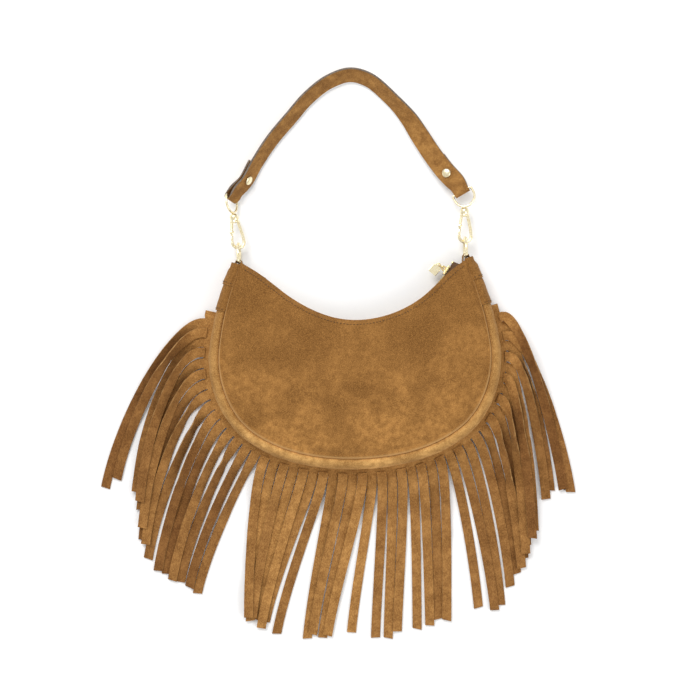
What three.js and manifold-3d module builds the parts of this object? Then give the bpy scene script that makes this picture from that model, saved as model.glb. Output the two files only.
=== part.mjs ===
// Half-moon suede shoulder bag with a fringed edge, lying on its back.
// Millimetres. +X across the bag, +Y towards the handle, +Z up out of the front panel.
// The origin is on the flat underside of the back panel.
import * as THREE from 'three';
import Module from 'manifold-3d';

// Driving dimensions
const SUEDE = 1.8;             // thickness of the body leather
const GAP = 0.3;               // air left between pieces that touch
const CORNER_HEIGHT = 27;      // thickness of the bag at its two top corners
const FULL_HEIGHT = 40;        // thickness of the bag along its belly
const CORNER_BULGE = 6.5;       // how far the side band stands out at the corners
const FULL_BULGE = 10;         // how far it stands out along the belly
const GROWTH_LENGTH = 110;     // seam length over which the bag reaches its full thickness
const MOUTH_X = 3;             // centre and radius of the arc that the zip runs on
const MOUTH_Y = 150;
const MOUTH_RADIUS = 107;
const MOUTH_HALF_ANGLE = 50;   // degrees either side of straight down
const MOUTH_RISE = 7;          // how much higher the front edge is in the middle of the mouth
const DOME = 8;                // fullness of the front panel
const RING_X = 109;            // the two D-rings stand in planes at plus and minus this
const RING_BAR_Y = 101.5;
const RING_ARC_Y = 108.5;
const RING_RADIUS = 11;        // wire centre line of the ring's round end
const RING_WIRE = 1.5;
const RING_Z = 13.5;           // height of the rings, hooks and zip above the floor
const FRINGE_LAYER = 1.4;      // thickness of the fringe leather
const FRINGE_WIDTH = 9.2;      // width of one cut strip
const HEADER_INNER = 0.9;      // inner and outer edge of the fringe's uncut strip, out from the seam
const HEADER_OUTER = 16.5;
const HEADER_START = 0.082;    // where that strip begins and ends along the seam
const FIRST_RIBBON = 0.1031;   // middle of the first ribbon along the seam, and the pitch between ribbons
const RIBBON_PITCH = 0.01616;
const STRAP_WIDTH = 18.5;
const STRAP_END_WIDTH = 15.2;
const STRAP_THICKNESS = 2.8;
const TEETH_PITCH = 3;
const ZIP_LEFT = -54;          // the zip's two ends and its closed slider, in degrees from straight down
const ZIP_RIGHT = 60.5;
const SLIDER_ANGLE = 55;

const SEAM_STEPS = 34;         // facets along the seam, the same on every piece that meets there

const DEGREE = Math.PI / 180;

const wasm = await Module();
wasm.setup();

// Materials
const finish = (color, roughness, metalness) => (
  new THREE.MeshStandardMaterial({ color, roughness, metalness })
);
const suede = () => finish(0xa5784a, 0.95, 0);
const gold = () => finish(0xe3c98a, 0.25, 1);
const cloth = () => finish(0x5b4028, 0.9, 0);

// Solids
function solid(points, faces) {
  const geometry = new THREE.BufferGeometry();
  const numbers = new Float32Array(points.flatMap((p) => [p.x, p.y, p.z]));
  geometry.setAttribute('position', new THREE.BufferAttribute(numbers, 3));
  let volume = 0;
  for (const [a, b, c] of faces) volume += points[a].dot(points[b].clone().cross(points[c]));
  geometry.setIndex((volume < 0 ? faces.map(([a, b, c]) => [a, c, b]) : faces).flat());
  return geometry;
}

// A sheet with thickness: two matching grids of points, closed round their edges
function slab(upper, lower) {
  const rows = upper.length;
  const columns = upper[0].length;
  const at = (side, i, j) => side * rows * columns + i * columns + j;
  const faces = [];
  const quad = (a, b, c, d) => faces.push([a, b, c], [a, c, d]);
  for (let i = 0; i < rows - 1; i += 1) {
    for (let j = 0; j < columns - 1; j += 1) {
      quad(at(0, i, j), at(0, i + 1, j), at(0, i + 1, j + 1), at(0, i, j + 1));
      quad(at(1, i, j), at(1, i, j + 1), at(1, i + 1, j + 1), at(1, i + 1, j));
    }
    quad(at(0, i, 0), at(1, i, 0), at(1, i + 1, 0), at(0, i + 1, 0));
    quad(at(0, i, columns - 1), at(0, i + 1, columns - 1), at(1, i + 1, columns - 1), at(1, i, columns - 1));
  }
  for (let j = 0; j < columns - 1; j += 1) {
    quad(at(0, 0, j), at(0, 0, j + 1), at(1, 0, j + 1), at(1, 0, j));
    quad(at(0, rows - 1, j), at(1, rows - 1, j), at(1, rows - 1, j + 1), at(0, rows - 1, j + 1));
  }
  return solid([...upper.flat(), ...lower.flat()], faces);
}

// Round wire bent in one plane; the plane's normal keeps its sections from turning
function wire(path, normal, radius, closed = false, sides = 10) {
  const count = path.length;
  const points = [];
  path.forEach((p, i) => {
    const before = path[closed ? (i + count - 1) % count : Math.max(i - 1, 0)];
    const after = path[closed ? (i + 1) % count : Math.min(i + 1, count - 1)];
    const side = after.clone().sub(before).normalize().cross(normal).normalize();
    for (let k = 0; k < sides; k += 1) {
      const angle = (2 * Math.PI * k) / sides;
      const edge = p.clone().addScaledVector(side, radius * Math.cos(angle));
      points.push(edge.addScaledVector(normal, radius * Math.sin(angle)));
    }
  });
  const faces = [];
  for (let i = 0; i < (closed ? count : count - 1); i += 1) {
    const next = (i + 1) % count;
    for (let k = 0; k < sides; k += 1) {
      const l = (k + 1) % sides;
      faces.push([i * sides + k, next * sides + k, next * sides + l]);
      faces.push([i * sides + k, next * sides + l, i * sides + l]);
    }
  }
  if (!closed) {
    for (let k = 1; k < sides - 1; k += 1) {
      faces.push([0, k, k + 1], [(count - 1) * sides, (count - 1) * sides + k + 1, (count - 1) * sides + k]);
    }
  }
  return solid(points, faces);
}

function toManifold(geometry) {
  const bare = geometry.index ? geometry.toNonIndexed() : geometry.clone();
  const position = bare.getAttribute('position');
  const seen = new Map();
  const vertices = [];
  const triangles = new Uint32Array(position.count);
  for (let i = 0; i < position.count; i += 1) {
    const xyz = [position.getX(i), position.getY(i), position.getZ(i)];
    const key = xyz.map((value) => Math.round(value * 1e4)).join(',');
    if (!seen.has(key)) {
      seen.set(key, vertices.length / 3);
      vertices.push(...xyz);
    }
    triangles[i] = seen.get(key);
  }
  const vertProperties = new Float32Array(vertices);
  return new wasm.Manifold(new wasm.Mesh({ numProp: 3, vertProperties, triVerts: triangles }));
}

function fromManifold(manifold) {
  const mesh = manifold.getMesh();
  const geometry = new THREE.BufferGeometry();
  geometry.setAttribute('position', new THREE.BufferAttribute(mesh.vertProperties, 3));
  geometry.setIndex(new THREE.BufferAttribute(mesh.triVerts, 1));
  return geometry;
}

const join = (...pieces) => fromManifold(pieces.map(toManifold).reduce((all, piece) => all.add(piece)));
const cut = (piece, ...tools) => fromManifold(
  tools.map(toManifold).reduce((rest, tool) => rest.subtract(tool), toManifold(piece)),
);

const vector = (x, y, z = 0) => new THREE.Vector3(x, y, z);
const box = (x0, x1, y0, y1, z0, z1) => new THREE.BoxGeometry(x1 - x0, y1 - y0, z1 - z0)
  .translate((x0 + x1) / 2, (y0 + y1) / 2, (z0 + z1) / 2);
const rodAlongY = (radius, y0, y1, sides = 16) => new THREE.CylinderGeometry(radius, radius, y1 - y0, sides)
  .translate(0, (y0 + y1) / 2, 0);
const rodAlongZ = (radius, z0, z1, sides = 14) => new THREE.CylinderGeometry(radius, radius, z1 - z0, sides)
  .rotateX(Math.PI / 2).translate(0, 0, (z0 + z1) / 2);

const bag = new THREE.Group();

function add(parent, name, geometry, material) {
  const mesh = new THREE.Mesh(geometry, material);
  mesh.name = name;
  parent.add(mesh);
  return mesh;
}

// Outline of the bag: the seam between front panel and side band, left corner round to right corner
const rightHalf = [
  [46, -84.5], [82, -72], [107, -54], [123, -28], [129.5, 3], [126.5, 34], [119, 66], [109.5, 94.5],
];
const seam = new THREE.CatmullRomCurve3([
  ...rightHalf.map(([x, y]) => vector(-x, y)).reverse(),
  vector(0, -89),
  ...rightHalf.map(([x, y]) => vector(x, y)),
]);
seam.arcLengthDivisions = 600;
const seamLength = seam.getLength();

function seamPoint(s, out = 0) {
  const tangent = seam.getTangentAt(s);
  return seam.getPointAt(s).add(vector(tangent.y, -tangent.x).multiplyScalar(out));
}

// 0 at the corners, 1 along the belly
function fullness(s) {
  const reach = Math.min(1, (Math.min(s, 1 - s) * seamLength) / GROWTH_LENGTH);
  return 1 - (1 - reach) ** 2;
}
const heightAt = (s) => CORNER_HEIGHT + (FULL_HEIGHT - CORNER_HEIGHT) * fullness(s);
const bulgeAt = (s) => CORNER_BULGE + (FULL_BULGE - CORNER_BULGE) * fullness(s);
const steps = (count, from = 0, to = 1) => (
  Array.from({ length: count + 1 }, (_, i) => from + ((to - from) * i) / count)
);

// Middle of the side band's leather: out from the seam and up. The angle runs from -90 at the band's
// lower edge to 90 at its upper edge.
function bandSection(s, angle, offset = 0) {
  const low = SUEDE + GAP + SUEDE / 2;
  const high = heightAt(s) - SUEDE / 2;
  const place = (a) => [
    bulgeAt(s) * Math.max(0, Math.cos(a)) ** 0.7,
    (low + high) / 2 + ((high - low) / 2) * Math.sign(Math.sin(a)) * Math.abs(Math.sin(a)) ** 0.8,
  ];
  const [out, up] = place(angle * DEGREE);
  const [outA, upA] = place(Math.max(-90, angle - 2) * DEGREE);
  const [outB, upB] = place(Math.min(90, angle + 2) * DEGREE);
  const length = Math.hypot(outB - outA, upB - upA);
  return [out + (offset * (upB - upA)) / length, up - (offset * (outB - outA)) / length];
}

function bandSheet(range, angles, offset, thickness, count) {
  const side = (shift) => steps(count, ...range).map((s) => angles.map((angle) => {
    const [out, up] = bandSection(s, angle, shift);
    return seamPoint(s, out).setZ(up);
  }));
  return slab(side(offset + thickness / 2), side(offset - thickness / 2));
}

// The mouth: an arc between two short straight edges that run to the corners
const mouthPoint = (angle, radius = MOUTH_RADIUS) => vector(
  MOUTH_X + radius * Math.sin(angle * DEGREE),
  MOUTH_Y - radius * Math.cos(angle * DEGREE),
);
const mouthEdge = new THREE.CurvePath();
const arcPoints = steps(24, -MOUTH_HALF_ANGLE, MOUTH_HALF_ANGLE).map((angle) => mouthPoint(angle));
const mouthPath = [vector(-102.5, 96.8), ...arcPoints, vector(103.5, 96.8)];
mouthPath.slice(1).forEach((p, i) => mouthEdge.add(new THREE.LineCurve3(mouthPath[i], p)));
const mouthHeight = (s) => CORNER_HEIGHT + MOUTH_RISE * Math.sin(Math.PI * s);

function panelPoint(s, t) {
  return mouthEdge.getPointAt(s).lerp(seamPoint(s, -GAP), t);
}

// Front panel: one piece of suede, full in the middle
function frontPanel() {
  const crown = (s, t) => DOME * Math.sin(Math.PI * t) ** 0.9 * Math.sin(Math.PI * s) ** 0.6;
  const top = (s, t) => mouthHeight(s) * (1 - t) + heightAt(s) * t + crown(s, t);
  const row = (s, drop) => steps(8).map((t) => panelPoint(s, t).setZ(top(s, t) - drop));
  const side = (drop) => steps(SEAM_STEPS).map((s) => row(s, drop));
  return slab(side(0), side(SUEDE));
}

// Back panel: the same outline, flat on the floor
function backPanel() {
  const side = (z) => steps(SEAM_STEPS).map((s) => steps(1).map((t) => panelPoint(s, t).setZ(z)));
  return slab(side(SUEDE), side(0));
}

const bandAngles = steps(8, -90, 90);
add(bag, 'front_panel', frontPanel(), suede());
add(bag, 'back_panel', backPanel(), suede());
add(bag, 'side_band', bandSheet([0, 1], bandAngles, 0, SUEDE, SEAM_STEPS), suede());

// Facings sewn over the top of the side band, under the ring tabs
const facingAngles = steps(6, -62, 62);
add(bag, 'left_side_facing', bandSheet([0.004, 0.078], facingAngles, SUEDE + GAP, SUEDE, 5), suede());
add(bag, 'right_side_facing', bandSheet([0.922, 0.996], facingAngles, SUEDE + GAP, SUEDE, 5), suede());

// Fringe: one strip of suede, cut into ribbons below an uncut header that is caught in the back seam.
// The ribbons hang together in locks, left to right as the header runs round the bag.
const LOCKS = [                // ribbons in a lock, and where its first and its last one end
  [2, [-244, -112], [-234, -100]],
  [6, [-214, -114], [-208, -170]],
  [7, [-205, -184], [-160, -220]],
  [6, [-110, -238], [-95, -250]],
  [1, [-82, -254], [-82, -254]],
  [4, [-52, -262], [-34, -261]],
  [1, [-12, -258], [-12, -258]],
  [3, [14, -262], [36, -259]],
  [1, [53, -256], [53, -256]],
  [3, [65, -255], [82, -247]],
  [1, [114, -238], [114, -238]],
  [2, [128, -236], [136, -233]],
  [1, [146, -217], [146, -217]],
  [7, [152, -204], [168, -162]],
  [2, [182, -133], [188, -129]],
  [3, [206, -131], [199, -123]],
];
const fringeTips = LOCKS.flatMap(([count, first, last]) =>
  steps(Math.max(count - 1, 1)).slice(0, count).map((t) => vector(...first).lerp(vector(...last), t)));
const KNEE = 10;               // how far a ribbon runs straight out before it bends down
const LAYER_STEP = 1.7;        // ribbons that cross lie on three levels

function ribbon(index) {
  const s = FIRST_RIBBON + RIBBON_PITCH * index;
  const root = seamPoint(s, HEADER_OUTER - 1);
  const knee = seamPoint(s, HEADER_OUTER + KNEE);
  const tip = fringeTips[index];
  const route = new THREE.CubicBezierCurve3(root, knee, knee.clone().lerp(tip, 0.35), tip);
  const level = (index % 3) * LAYER_STEP;
  const lift = 0.1 + FRINGE_LAYER / 2;
  const edges = (shift) => steps(7).map((t) => {
    const centre = route.getPointAt(t);
    const tangent = route.getTangentAt(t);
    const across = vector(-tangent.y, tangent.x).multiplyScalar(FRINGE_WIDTH / 2);
    centre.z = lift + level * THREE.MathUtils.smoothstep(t, 0.04, 0.2) + shift;
    return [centre.clone().sub(across), centre.clone().add(across)];
  });
  return slab(edges(FRINGE_LAYER / 2), edges(-FRINGE_LAYER / 2));
}

function fringe() {
  const row = (s, z) => [seamPoint(s, HEADER_INNER).setZ(z), seamPoint(s, HEADER_OUTER).setZ(z)];
  const side = (z) => steps(30, HEADER_START, 1 - HEADER_START).map((s) => row(s, z));
  const header = slab(side(0.1 + FRINGE_LAYER), side(0.1));
  return join(header, ...fringeTips.map((_, index) => ribbon(index)));
}
add(bag, 'fringe', fringe(), suede());

// Zip: two tapes standing between the panels, a row of teeth on each, a stop at each end
const ZIP_RADIUS = MOUTH_RADIUS + 1.2;
const TAPE = 0.8;
const TOOTH_INNER = 0.9;
const TOOTH_OUTER = 3;
const TOOTH_DEPTH = 1.4;
const TOOTH_HALF = 0.75;       // half of a tooth's width along the zip
const mouthFraction = (angle) => 0.5 + (THREE.MathUtils.clamp(angle, ZIP_LEFT, -ZIP_LEFT) / -ZIP_LEFT) * 0.45;

function tape(lowAt, highAt) {
  const side = (radius) => steps(32, ZIP_LEFT, ZIP_RIGHT).map((angle) => [
    mouthPoint(angle, radius).setZ(lowAt(angle)),
    mouthPoint(angle, radius).setZ(highAt(angle)),
  ]);
  return slab(side(ZIP_RADIUS - TAPE / 2), side(ZIP_RADIUS + TAPE / 2));
}
const underFront = (angle) => mouthHeight(mouthFraction(angle)) - SUEDE - 2 * GAP;
const zipTapeFront = tape(() => RING_Z + TOOTH_OUTER + GAP, underFront);
const zipTapeBack = tape(() => SUEDE + GAP, () => RING_Z - TOOTH_OUTER - GAP);

const TEETH_MARGIN = 3;        // degrees between the last tooth and the end of the tape
const BEAD_DEPTH = 0.7;
const BEAD_HEIGHT = 0.8;

function zipTeeth(sign) {
  const first = ZIP_LEFT + TEETH_MARGIN;
  const last = ZIP_RIGHT - TEETH_MARGIN;
  const count = Math.floor(((last - first) * DEGREE * ZIP_RADIUS) / TEETH_PITCH);
  const pitch = (last - first) / count;
  const z0 = RING_Z + sign * TOOTH_INNER;
  const z1 = RING_Z + sign * (TOOTH_OUTER - BEAD_HEIGHT);
  const z2 = RING_Z + sign * TOOTH_OUTER;
  const bead = (radius) => steps(28, first, last).map((angle) => (
    [mouthPoint(angle, radius).setZ(z1), mouthPoint(angle, radius).setZ(z2)]
  ));
  const teeth = steps(count - 1, first + pitch / 2, last - pitch / 2).map((angle) => (
    box(-TOOTH_HALF, TOOTH_HALF, -TOOTH_DEPTH, TOOTH_DEPTH, Math.min(z0, z1), Math.max(z0, z1))
      .translate(0, -ZIP_RADIUS, sign * 0.2).rotateZ(angle * DEGREE).translate(MOUTH_X, MOUTH_Y, 0)
  ));
  return join(slab(bead(ZIP_RADIUS - BEAD_DEPTH), bead(ZIP_RADIUS + BEAD_DEPTH)), ...teeth);
}

add(bag, 'zip_tape_front', zipTapeFront, cloth());
add(bag, 'zip_tape_back', zipTapeBack, cloth());
add(bag, 'zip_teeth_front', zipTeeth(1), gold());
add(bag, 'zip_teeth_back', zipTeeth(-1), gold());

function zipStop(angle) {
  return box(-1.2, 1.2, -TOOTH_DEPTH, TOOTH_DEPTH, RING_Z - 2.6, RING_Z + 2.6)
    .translate(0, -ZIP_RADIUS, 0).rotateZ(angle * DEGREE).translate(MOUTH_X, MOUTH_Y, 0);
}
const STOP_MARGIN = 0.5;
add(bag, 'left_zip_stop', zipStop(ZIP_LEFT + STOP_MARGIN), gold());
add(bag, 'right_zip_stop', zipStop(ZIP_RIGHT - STOP_MARGIN), gold());

// Zip slider: two plates joined by a post that runs between the rows of teeth. Its own +Y points out
// of the bag.
const PLATE_INNER = 2;
const PLATE_OUTER = 3.1;
const SLIDER_HALF_LENGTH = 5;
const SLIDER_HALF_WIDTH = 5.2;
const PULL_EYE_Y = 5.2;        // centre of the slider's eye
const LINK_LENGTH = 5.4;       // from the slider's eye to the puller's hole
const PULLER_LENGTH = 12.5;
const PULLER_WIDTH = 9;
const PULLER_SHOULDER = 3.5;   // where the puller narrows towards its hole
const PULLER_NECK = 1.4;
const PULLER_THICK = 1.6;
const PULLER_TURN = 82;        // degrees that the puller has swung back along the zip

function ringPlate(outer, inner, half) {
  const shape = new THREE.Shape();
  shape.absarc(0, 0, outer, 0, Math.PI);
  shape.lineTo(-outer, -PULL_EYE_Y + PLATE_INNER + 0.4);
  shape.lineTo(outer, -PULL_EYE_Y + PLATE_INNER + 0.4);
  const hole = new THREE.Path();
  hole.absarc(0, 0, inner, 0, 2 * Math.PI, true);
  shape.holes.push(hole);
  return new THREE.ExtrudeGeometry(shape, { depth: 2 * half, bevelEnabled: false, curveSegments: 8 })
    .translate(0, PULL_EYE_Y, -half);
}

function sliderBody() {
  const L = SLIDER_HALF_LENGTH;
  const W = SLIDER_HALF_WIDTH;
  const plates = [box(-L, L, PLATE_INNER, PLATE_OUTER, -W, W), box(-L, L, -PLATE_OUTER, -PLATE_INNER, -W, W)];
  const flanges = [-1, 1].flatMap((y) => [-1, 1].map((z) => box(
    -L, L,
    Math.min(0.9 * y, 2.4 * y), Math.max(0.9 * y, 2.4 * y),
    Math.min((W - 0.9) * z, W * z), Math.max((W - 0.9) * z, W * z),
  )));
  const post = box(L - 2, L - 0.4, -2.4, 2.4, -0.45, 0.45);
  return join(...plates, ...flanges, post, ringPlate(2.6, 1.2, 1.3));
}

function puller() {
  const r = 0.8;
  const half = PULLER_WIDTH / 2;
  const top = PULLER_LENGTH - 2.2;
  const shape = new THREE.Shape();
  shape.absarc(half - r, top - r, r, 0, Math.PI / 2);
  shape.absarc(-half + r, top - r, r, Math.PI / 2, Math.PI);
  shape.lineTo(-half, PULLER_SHOULDER);
  shape.lineTo(-PULLER_NECK, -2.2);
  shape.lineTo(PULLER_NECK, -2.2);
  shape.lineTo(half, PULLER_SHOULDER);
  const hole = new THREE.Path();
  hole.absarc(0, 0, 1.1, 0, 2 * Math.PI, true);
  shape.holes.push(hole);
  return new THREE.ExtrudeGeometry(shape, { depth: PULLER_THICK, bevelEnabled: false, curveSegments: 6 })
    .translate(0, 0, -PULLER_THICK / 2);
}

function pullLink() {
  const corner = (x, y, from) => steps(3, from, from + 90).map((a) => (
    vector(0, y + Math.sin(a * DEGREE), x + Math.cos(a * DEGREE))
  ));
  const z = 2.2;
  const path = [
    ...corner(z, LINK_LENGTH - 1, 0), ...corner(-z, LINK_LENGTH - 1, 90),
    ...corner(-z, 1, 180), ...corner(z, 1, 270),
  ];
  return wire(path, vector(1, 0, 0), 0.6, true, 8).translate(0, PULL_EYE_Y, 0);
}

const slider = new THREE.Group();
slider.position.copy(mouthPoint(SLIDER_ANGLE, ZIP_RADIUS).setZ(RING_Z));
slider.rotation.z = SLIDER_ANGLE * DEGREE;
add(slider, 'zip_slider', sliderBody(), gold());
add(slider, 'zip_pull_link', pullLink(), gold());
const pullerMesh = add(slider, 'zip_puller', puller(), gold());
pullerMesh.position.y = PULL_EYE_Y + LINK_LENGTH;
pullerMesh.rotation.z = PULLER_TURN * DEGREE;
bag.add(slider);

// D-rings, each held by a tab that is folded round its bar and sewn down on the facing
function dRing() {
  const fillet = 2.5;
  const half = RING_RADIUS - fillet;
  const bend = (sign, from, to) => steps(3, from, to).map((a) => vector(
    0,
    RING_BAR_Y + fillet - fillet * Math.sin(a * DEGREE),
    RING_Z + sign * (half + fillet * Math.cos(a * DEGREE)),
  ));
  const round = steps(12, -90, 90).map((a) => vector(
    0,
    RING_ARC_Y + RING_RADIUS * Math.cos(a * DEGREE),
    RING_Z + RING_RADIUS * Math.sin(a * DEGREE),
  ));
  return wire([...round, ...bend(1, 0, 90), ...bend(-1, 90, 0)], vector(1, 0, 0), RING_WIRE, true, 10);
}

const TAB_HALF = 8.2;          // half of the tab's width

function ringTab() {
  const loop = RING_WIRE + GAP + 0.1 + SUEDE / 2;
  const path = [
    vector(-loop + 0.6, 86), vector(-loop, 94), vector(-loop, RING_BAR_Y - 1),
    ...steps(8, 180, 0).map((a) => (
      vector(loop * Math.cos(a * DEGREE), RING_BAR_Y + loop * Math.sin(a * DEGREE))
    )),
    ...steps(4, 0.995, 0.968).map((s) => (
      seamPoint(s, bulgeAt(s) + 2 * SUEDE + 3 * GAP).add(vector(-RING_X, 0))
    )),
  ];
  const rows = (shift) => path.map((p, i) => {
    const after = path[Math.min(i + 1, path.length - 1)];
    const along = after.clone().sub(path[Math.max(i - 1, 0)]).normalize();
    const point = p.clone().addScaledVector(vector(-along.y, along.x), shift);
    return [-TAB_HALF, TAB_HALF].map((z) => point.clone().setZ(RING_Z + z));
  });
  return slab(rows(SUEDE / 2), rows(-SUEDE / 2));
}

function mirrored(geometry) {
  const position = geometry.getAttribute('position');
  const places = Array.from({ length: position.count }, (_, i) => i);
  const points = places.map((i) => vector(-position.getX(i), position.getY(i), position.getZ(i)));
  const index = Array.from(geometry.index.array);
  const faces = steps(index.length / 3 - 1, 0, index.length / 3 - 1);
  return solid(points, faces.map((i) => index.slice(3 * i, 3 * i + 3)));
}

for (const [side, sign] of [['left', -1], ['right', 1]]) {
  add(bag, `${side}_d_ring`, dRing(), gold()).position.x = sign * RING_X;
  const tab = add(bag, `${side}_ring_tab`, ringTab(), suede());
  tab.position.x = sign * RING_X;
  if (sign < 0) tab.geometry = mirrored(tab.geometry);
}

// Swivel hooks. In a hook's own frame +Y runs up its barrel and the origin is at the barrel's lower end.
const HOOK_WIRE = 1.5;
const HOOK_RADIUS = 5.8;       // centre line of the round bottom
const HOOK_DROP = 18.7;        // from the barrel to the centre of that bottom
const BARREL_LENGTH = 8.5;
const HINGE = vector(-4.6, -8.6);
const HANG_GAP = 1;            // play between ring and hook
const HOOK_TO_RING = HOOK_DROP + HOOK_RADIUS - HOOK_WIRE - HANG_GAP - RING_WIRE;
const EYE_WIRE = 1.1;
const EYE_RADIUS = 10;
const EYE_BAR = 5;             // from the centre of the eye's round end to its bar
const EYE_CENTRE = BARREL_LENGTH + GAP + EYE_WIRE + EYE_RADIUS;

function hookBody() {
  const right = [vector(3.2, 1.5), vector(3.6, -2), ...steps(12, 0, -180).map((a) => vector(
    HOOK_RADIUS * Math.cos(a * DEGREE),
    -HOOK_DROP + HOOK_RADIUS * Math.sin(a * DEGREE),
  )), vector(-5.78, -17.5)];
  const left = [vector(-3.2, 1.5), vector(-3.6, -2), HINGE.clone()];
  const up = vector(0, 0, 1);
  const boss = rodAlongZ(1.9, -1.6, 1.6).translate(HINGE.x, HINGE.y, 0);
  const barrel = rodAlongY(4.2, 0, BARREL_LENGTH, 20);
  const slot = box(-8, -2.3, -11.5, HINGE.y + 1.9, -0.8, 0.8);
  const pinHole = rodAlongZ(0.75, -3, 3, 10).translate(HINGE.x, HINGE.y, 0);
  const bore = rodAlongY(1.3, 4, BARREL_LENGTH + 1);
  const chamber = rodAlongY(2.2, -1, 5);
  const cast = join(barrel, wire(right, up, HOOK_WIRE), wire(left, up, HOOK_WIRE), boss);
  return cut(cast, slot, pinHole, bore, chamber);
}

const GATE_LEAN = -7;          // degrees that the shut gate leans towards the hook's tip

function gate() {
  const tongue = rodAlongZ(1.5, -0.5, 0.5).translate(HINGE.x, HINGE.y, 0);
  const neck = box(-1.1, 1.1, -4, 0, -0.5, 0.5);
  const arm = box(-1.1, 1.1, -8.6, -3.2, -1.3, 1.3);
  const lean = (piece) => piece.rotateZ(GATE_LEAN * DEGREE).translate(HINGE.x, HINGE.y, 0);
  const pinHole = rodAlongZ(0.75, -3, 3, 10).translate(HINGE.x, HINGE.y, 0);
  return cut(join(tongue, lean(neck), lean(arm)), pinHole);
}

// Strap eye: a D of thin wire on a post that turns in the barrel. "tilt" is how far the D leans on
// the post.
function strapEye(tilt) {
  const fillet = 2;
  const half = EYE_RADIUS - fillet;
  const bend = (sign, from, to) => steps(3, from, to).map((a) => vector(
    sign * (half + fillet * Math.cos(a * DEGREE)),
    EYE_BAR - fillet + fillet * Math.sin(a * DEGREE),
  ));
  const round = steps(14, 180, 360).map((a) => (
    vector(EYE_RADIUS * Math.cos(a * DEGREE), EYE_RADIUS * Math.sin(a * DEGREE))
  ));
  const path = [...round, ...bend(1, 0, 90), ...bend(-1, 90, 0)];
  const loop = wire(path, vector(0, 0, 1), EYE_WIRE, true, 8)
    .rotateZ(tilt * DEGREE).translate(0, EYE_CENTRE, 0);
  const post = rodAlongY(1, 3.4, BARREL_LENGTH + GAP + 1.2, 12);
  const head = rodAlongY(1.8, 3.4, 4.6, 12);
  return join(loop, post, head);
}

const hooks = [
  { side: 'left', x: -RING_X, lean: 8, bodyRoll: 15, eyeRoll: 65, tilt: -20 },
  { side: 'right', x: RING_X, lean: 0, bodyRoll: 0, eyeRoll: -12, tilt: 28 },
];
const strapEnds = hooks.map(({ side, x, lean, bodyRoll, eyeRoll, tilt }) => {
  const hanger = new THREE.Group();          // pivots on the wire of the ring
  hanger.position.set(x, RING_ARC_Y + RING_RADIUS, RING_Z);
  hanger.rotation.z = lean * DEGREE;
  bag.add(hanger);
  const body = new THREE.Group();
  body.position.y = HOOK_TO_RING;
  body.rotation.y = bodyRoll * DEGREE;
  hanger.add(body);
  add(body, `${side}_hook`, hookBody(), gold());
  add(body, `${side}_hook_gate`, gate(), gold());
  const pin = rodAlongZ(0.45, -1.6, 1.6, 10).translate(HINGE.x, HINGE.y, 0);
  add(body, `${side}_gate_pin`, pin, gold());
  const eye = new THREE.Group();
  eye.position.y = HOOK_TO_RING;
  eye.rotation.y = eyeRoll * DEGREE;
  hanger.add(eye);
  add(eye, `${side}_strap_eye`, strapEye(tilt), gold());
  bag.updateMatrixWorld(true);
  const lie = (p) => p.applyMatrix4(eye.matrixWorld);
  const tilted = (p) => p.applyAxisAngle(vector(0, 0, 1), tilt * DEGREE);
  const turned = (p) => lie(tilted(p).add(vector(0, EYE_CENTRE)));
  const centre = turned(vector(0, EYE_BAR));
  return { centre, across: turned(vector(1, EYE_BAR)).sub(centre).normalize() };
});

// Strap: one length of doubled suede. Each end folds round an eye's bar and is riveted back on itself.
const [leftEnd, rightEnd] = strapEnds;

// A short straight lead square to an eye's bar, so that the fold wraps it evenly
function lead({ centre, across }, towards, length) {
  const along = towards.clone().sub(centre);
  along.addScaledVector(across, -along.dot(across)).normalize();
  return centre.clone().addScaledVector(along, length);
}
const leftRun = vector(-101, 180, 10.6);
const rightRun = vector(91, 186, 9.2);
const run = new THREE.CatmullRomCurve3([
  leftEnd.centre, lead(leftEnd, leftRun, 3), lead(leftEnd, leftRun, 8), leftRun,
  vector(-90.5, 198, 9.6), vector(-75.5, 219.5, 9.3), vector(-56.5, 241, 9.3),
  vector(-39.5, 259.5, 9.3), vector(-19, 274.5, 9.3), vector(2.5, 281, 9.3), vector(21, 275.5, 9.3),
  vector(41.5, 257.5, 9.2), vector(58, 238, 8.6), vector(69.5, 219, 7.4), vector(80, 202, 7.4), rightRun,
  lead(rightEnd, rightRun, 8), lead(rightEnd, rightRun, 3), rightEnd.centre,
]);
run.arcLengthDivisions = 400;
const runLength = run.getLength();
const FOLD_RADIUS = 3;         // middle of the leather where it goes round the bar
const LAYER_OFFSET = STRAP_THICKNESS / 2 + GAP / 2;
const TAIL_LENGTH = 40;
const RIVET_AT = 23;
const END_LENGTH = 14;         // over this length the strap narrows and its two layers part
const TURN_LENGTH = 18;        // over this length the strap twists to lie square to the eye's bar
// Lean of the strap, in degrees from flat, along its length
const rollKeys = [[0, 63], [0.3, 58], [0.66, 55], [0.82, 24], [1, 14]];

function rollAt(u) {
  const next = Math.max(1, rollKeys.findIndex(([place]) => place >= u));
  const [[u0, a0], [u1, a1]] = [rollKeys[next - 1], rollKeys[next]];
  return a0 + (a1 - a0) * THREE.MathUtils.smoothstep(u, u0, u1);
}

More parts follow.
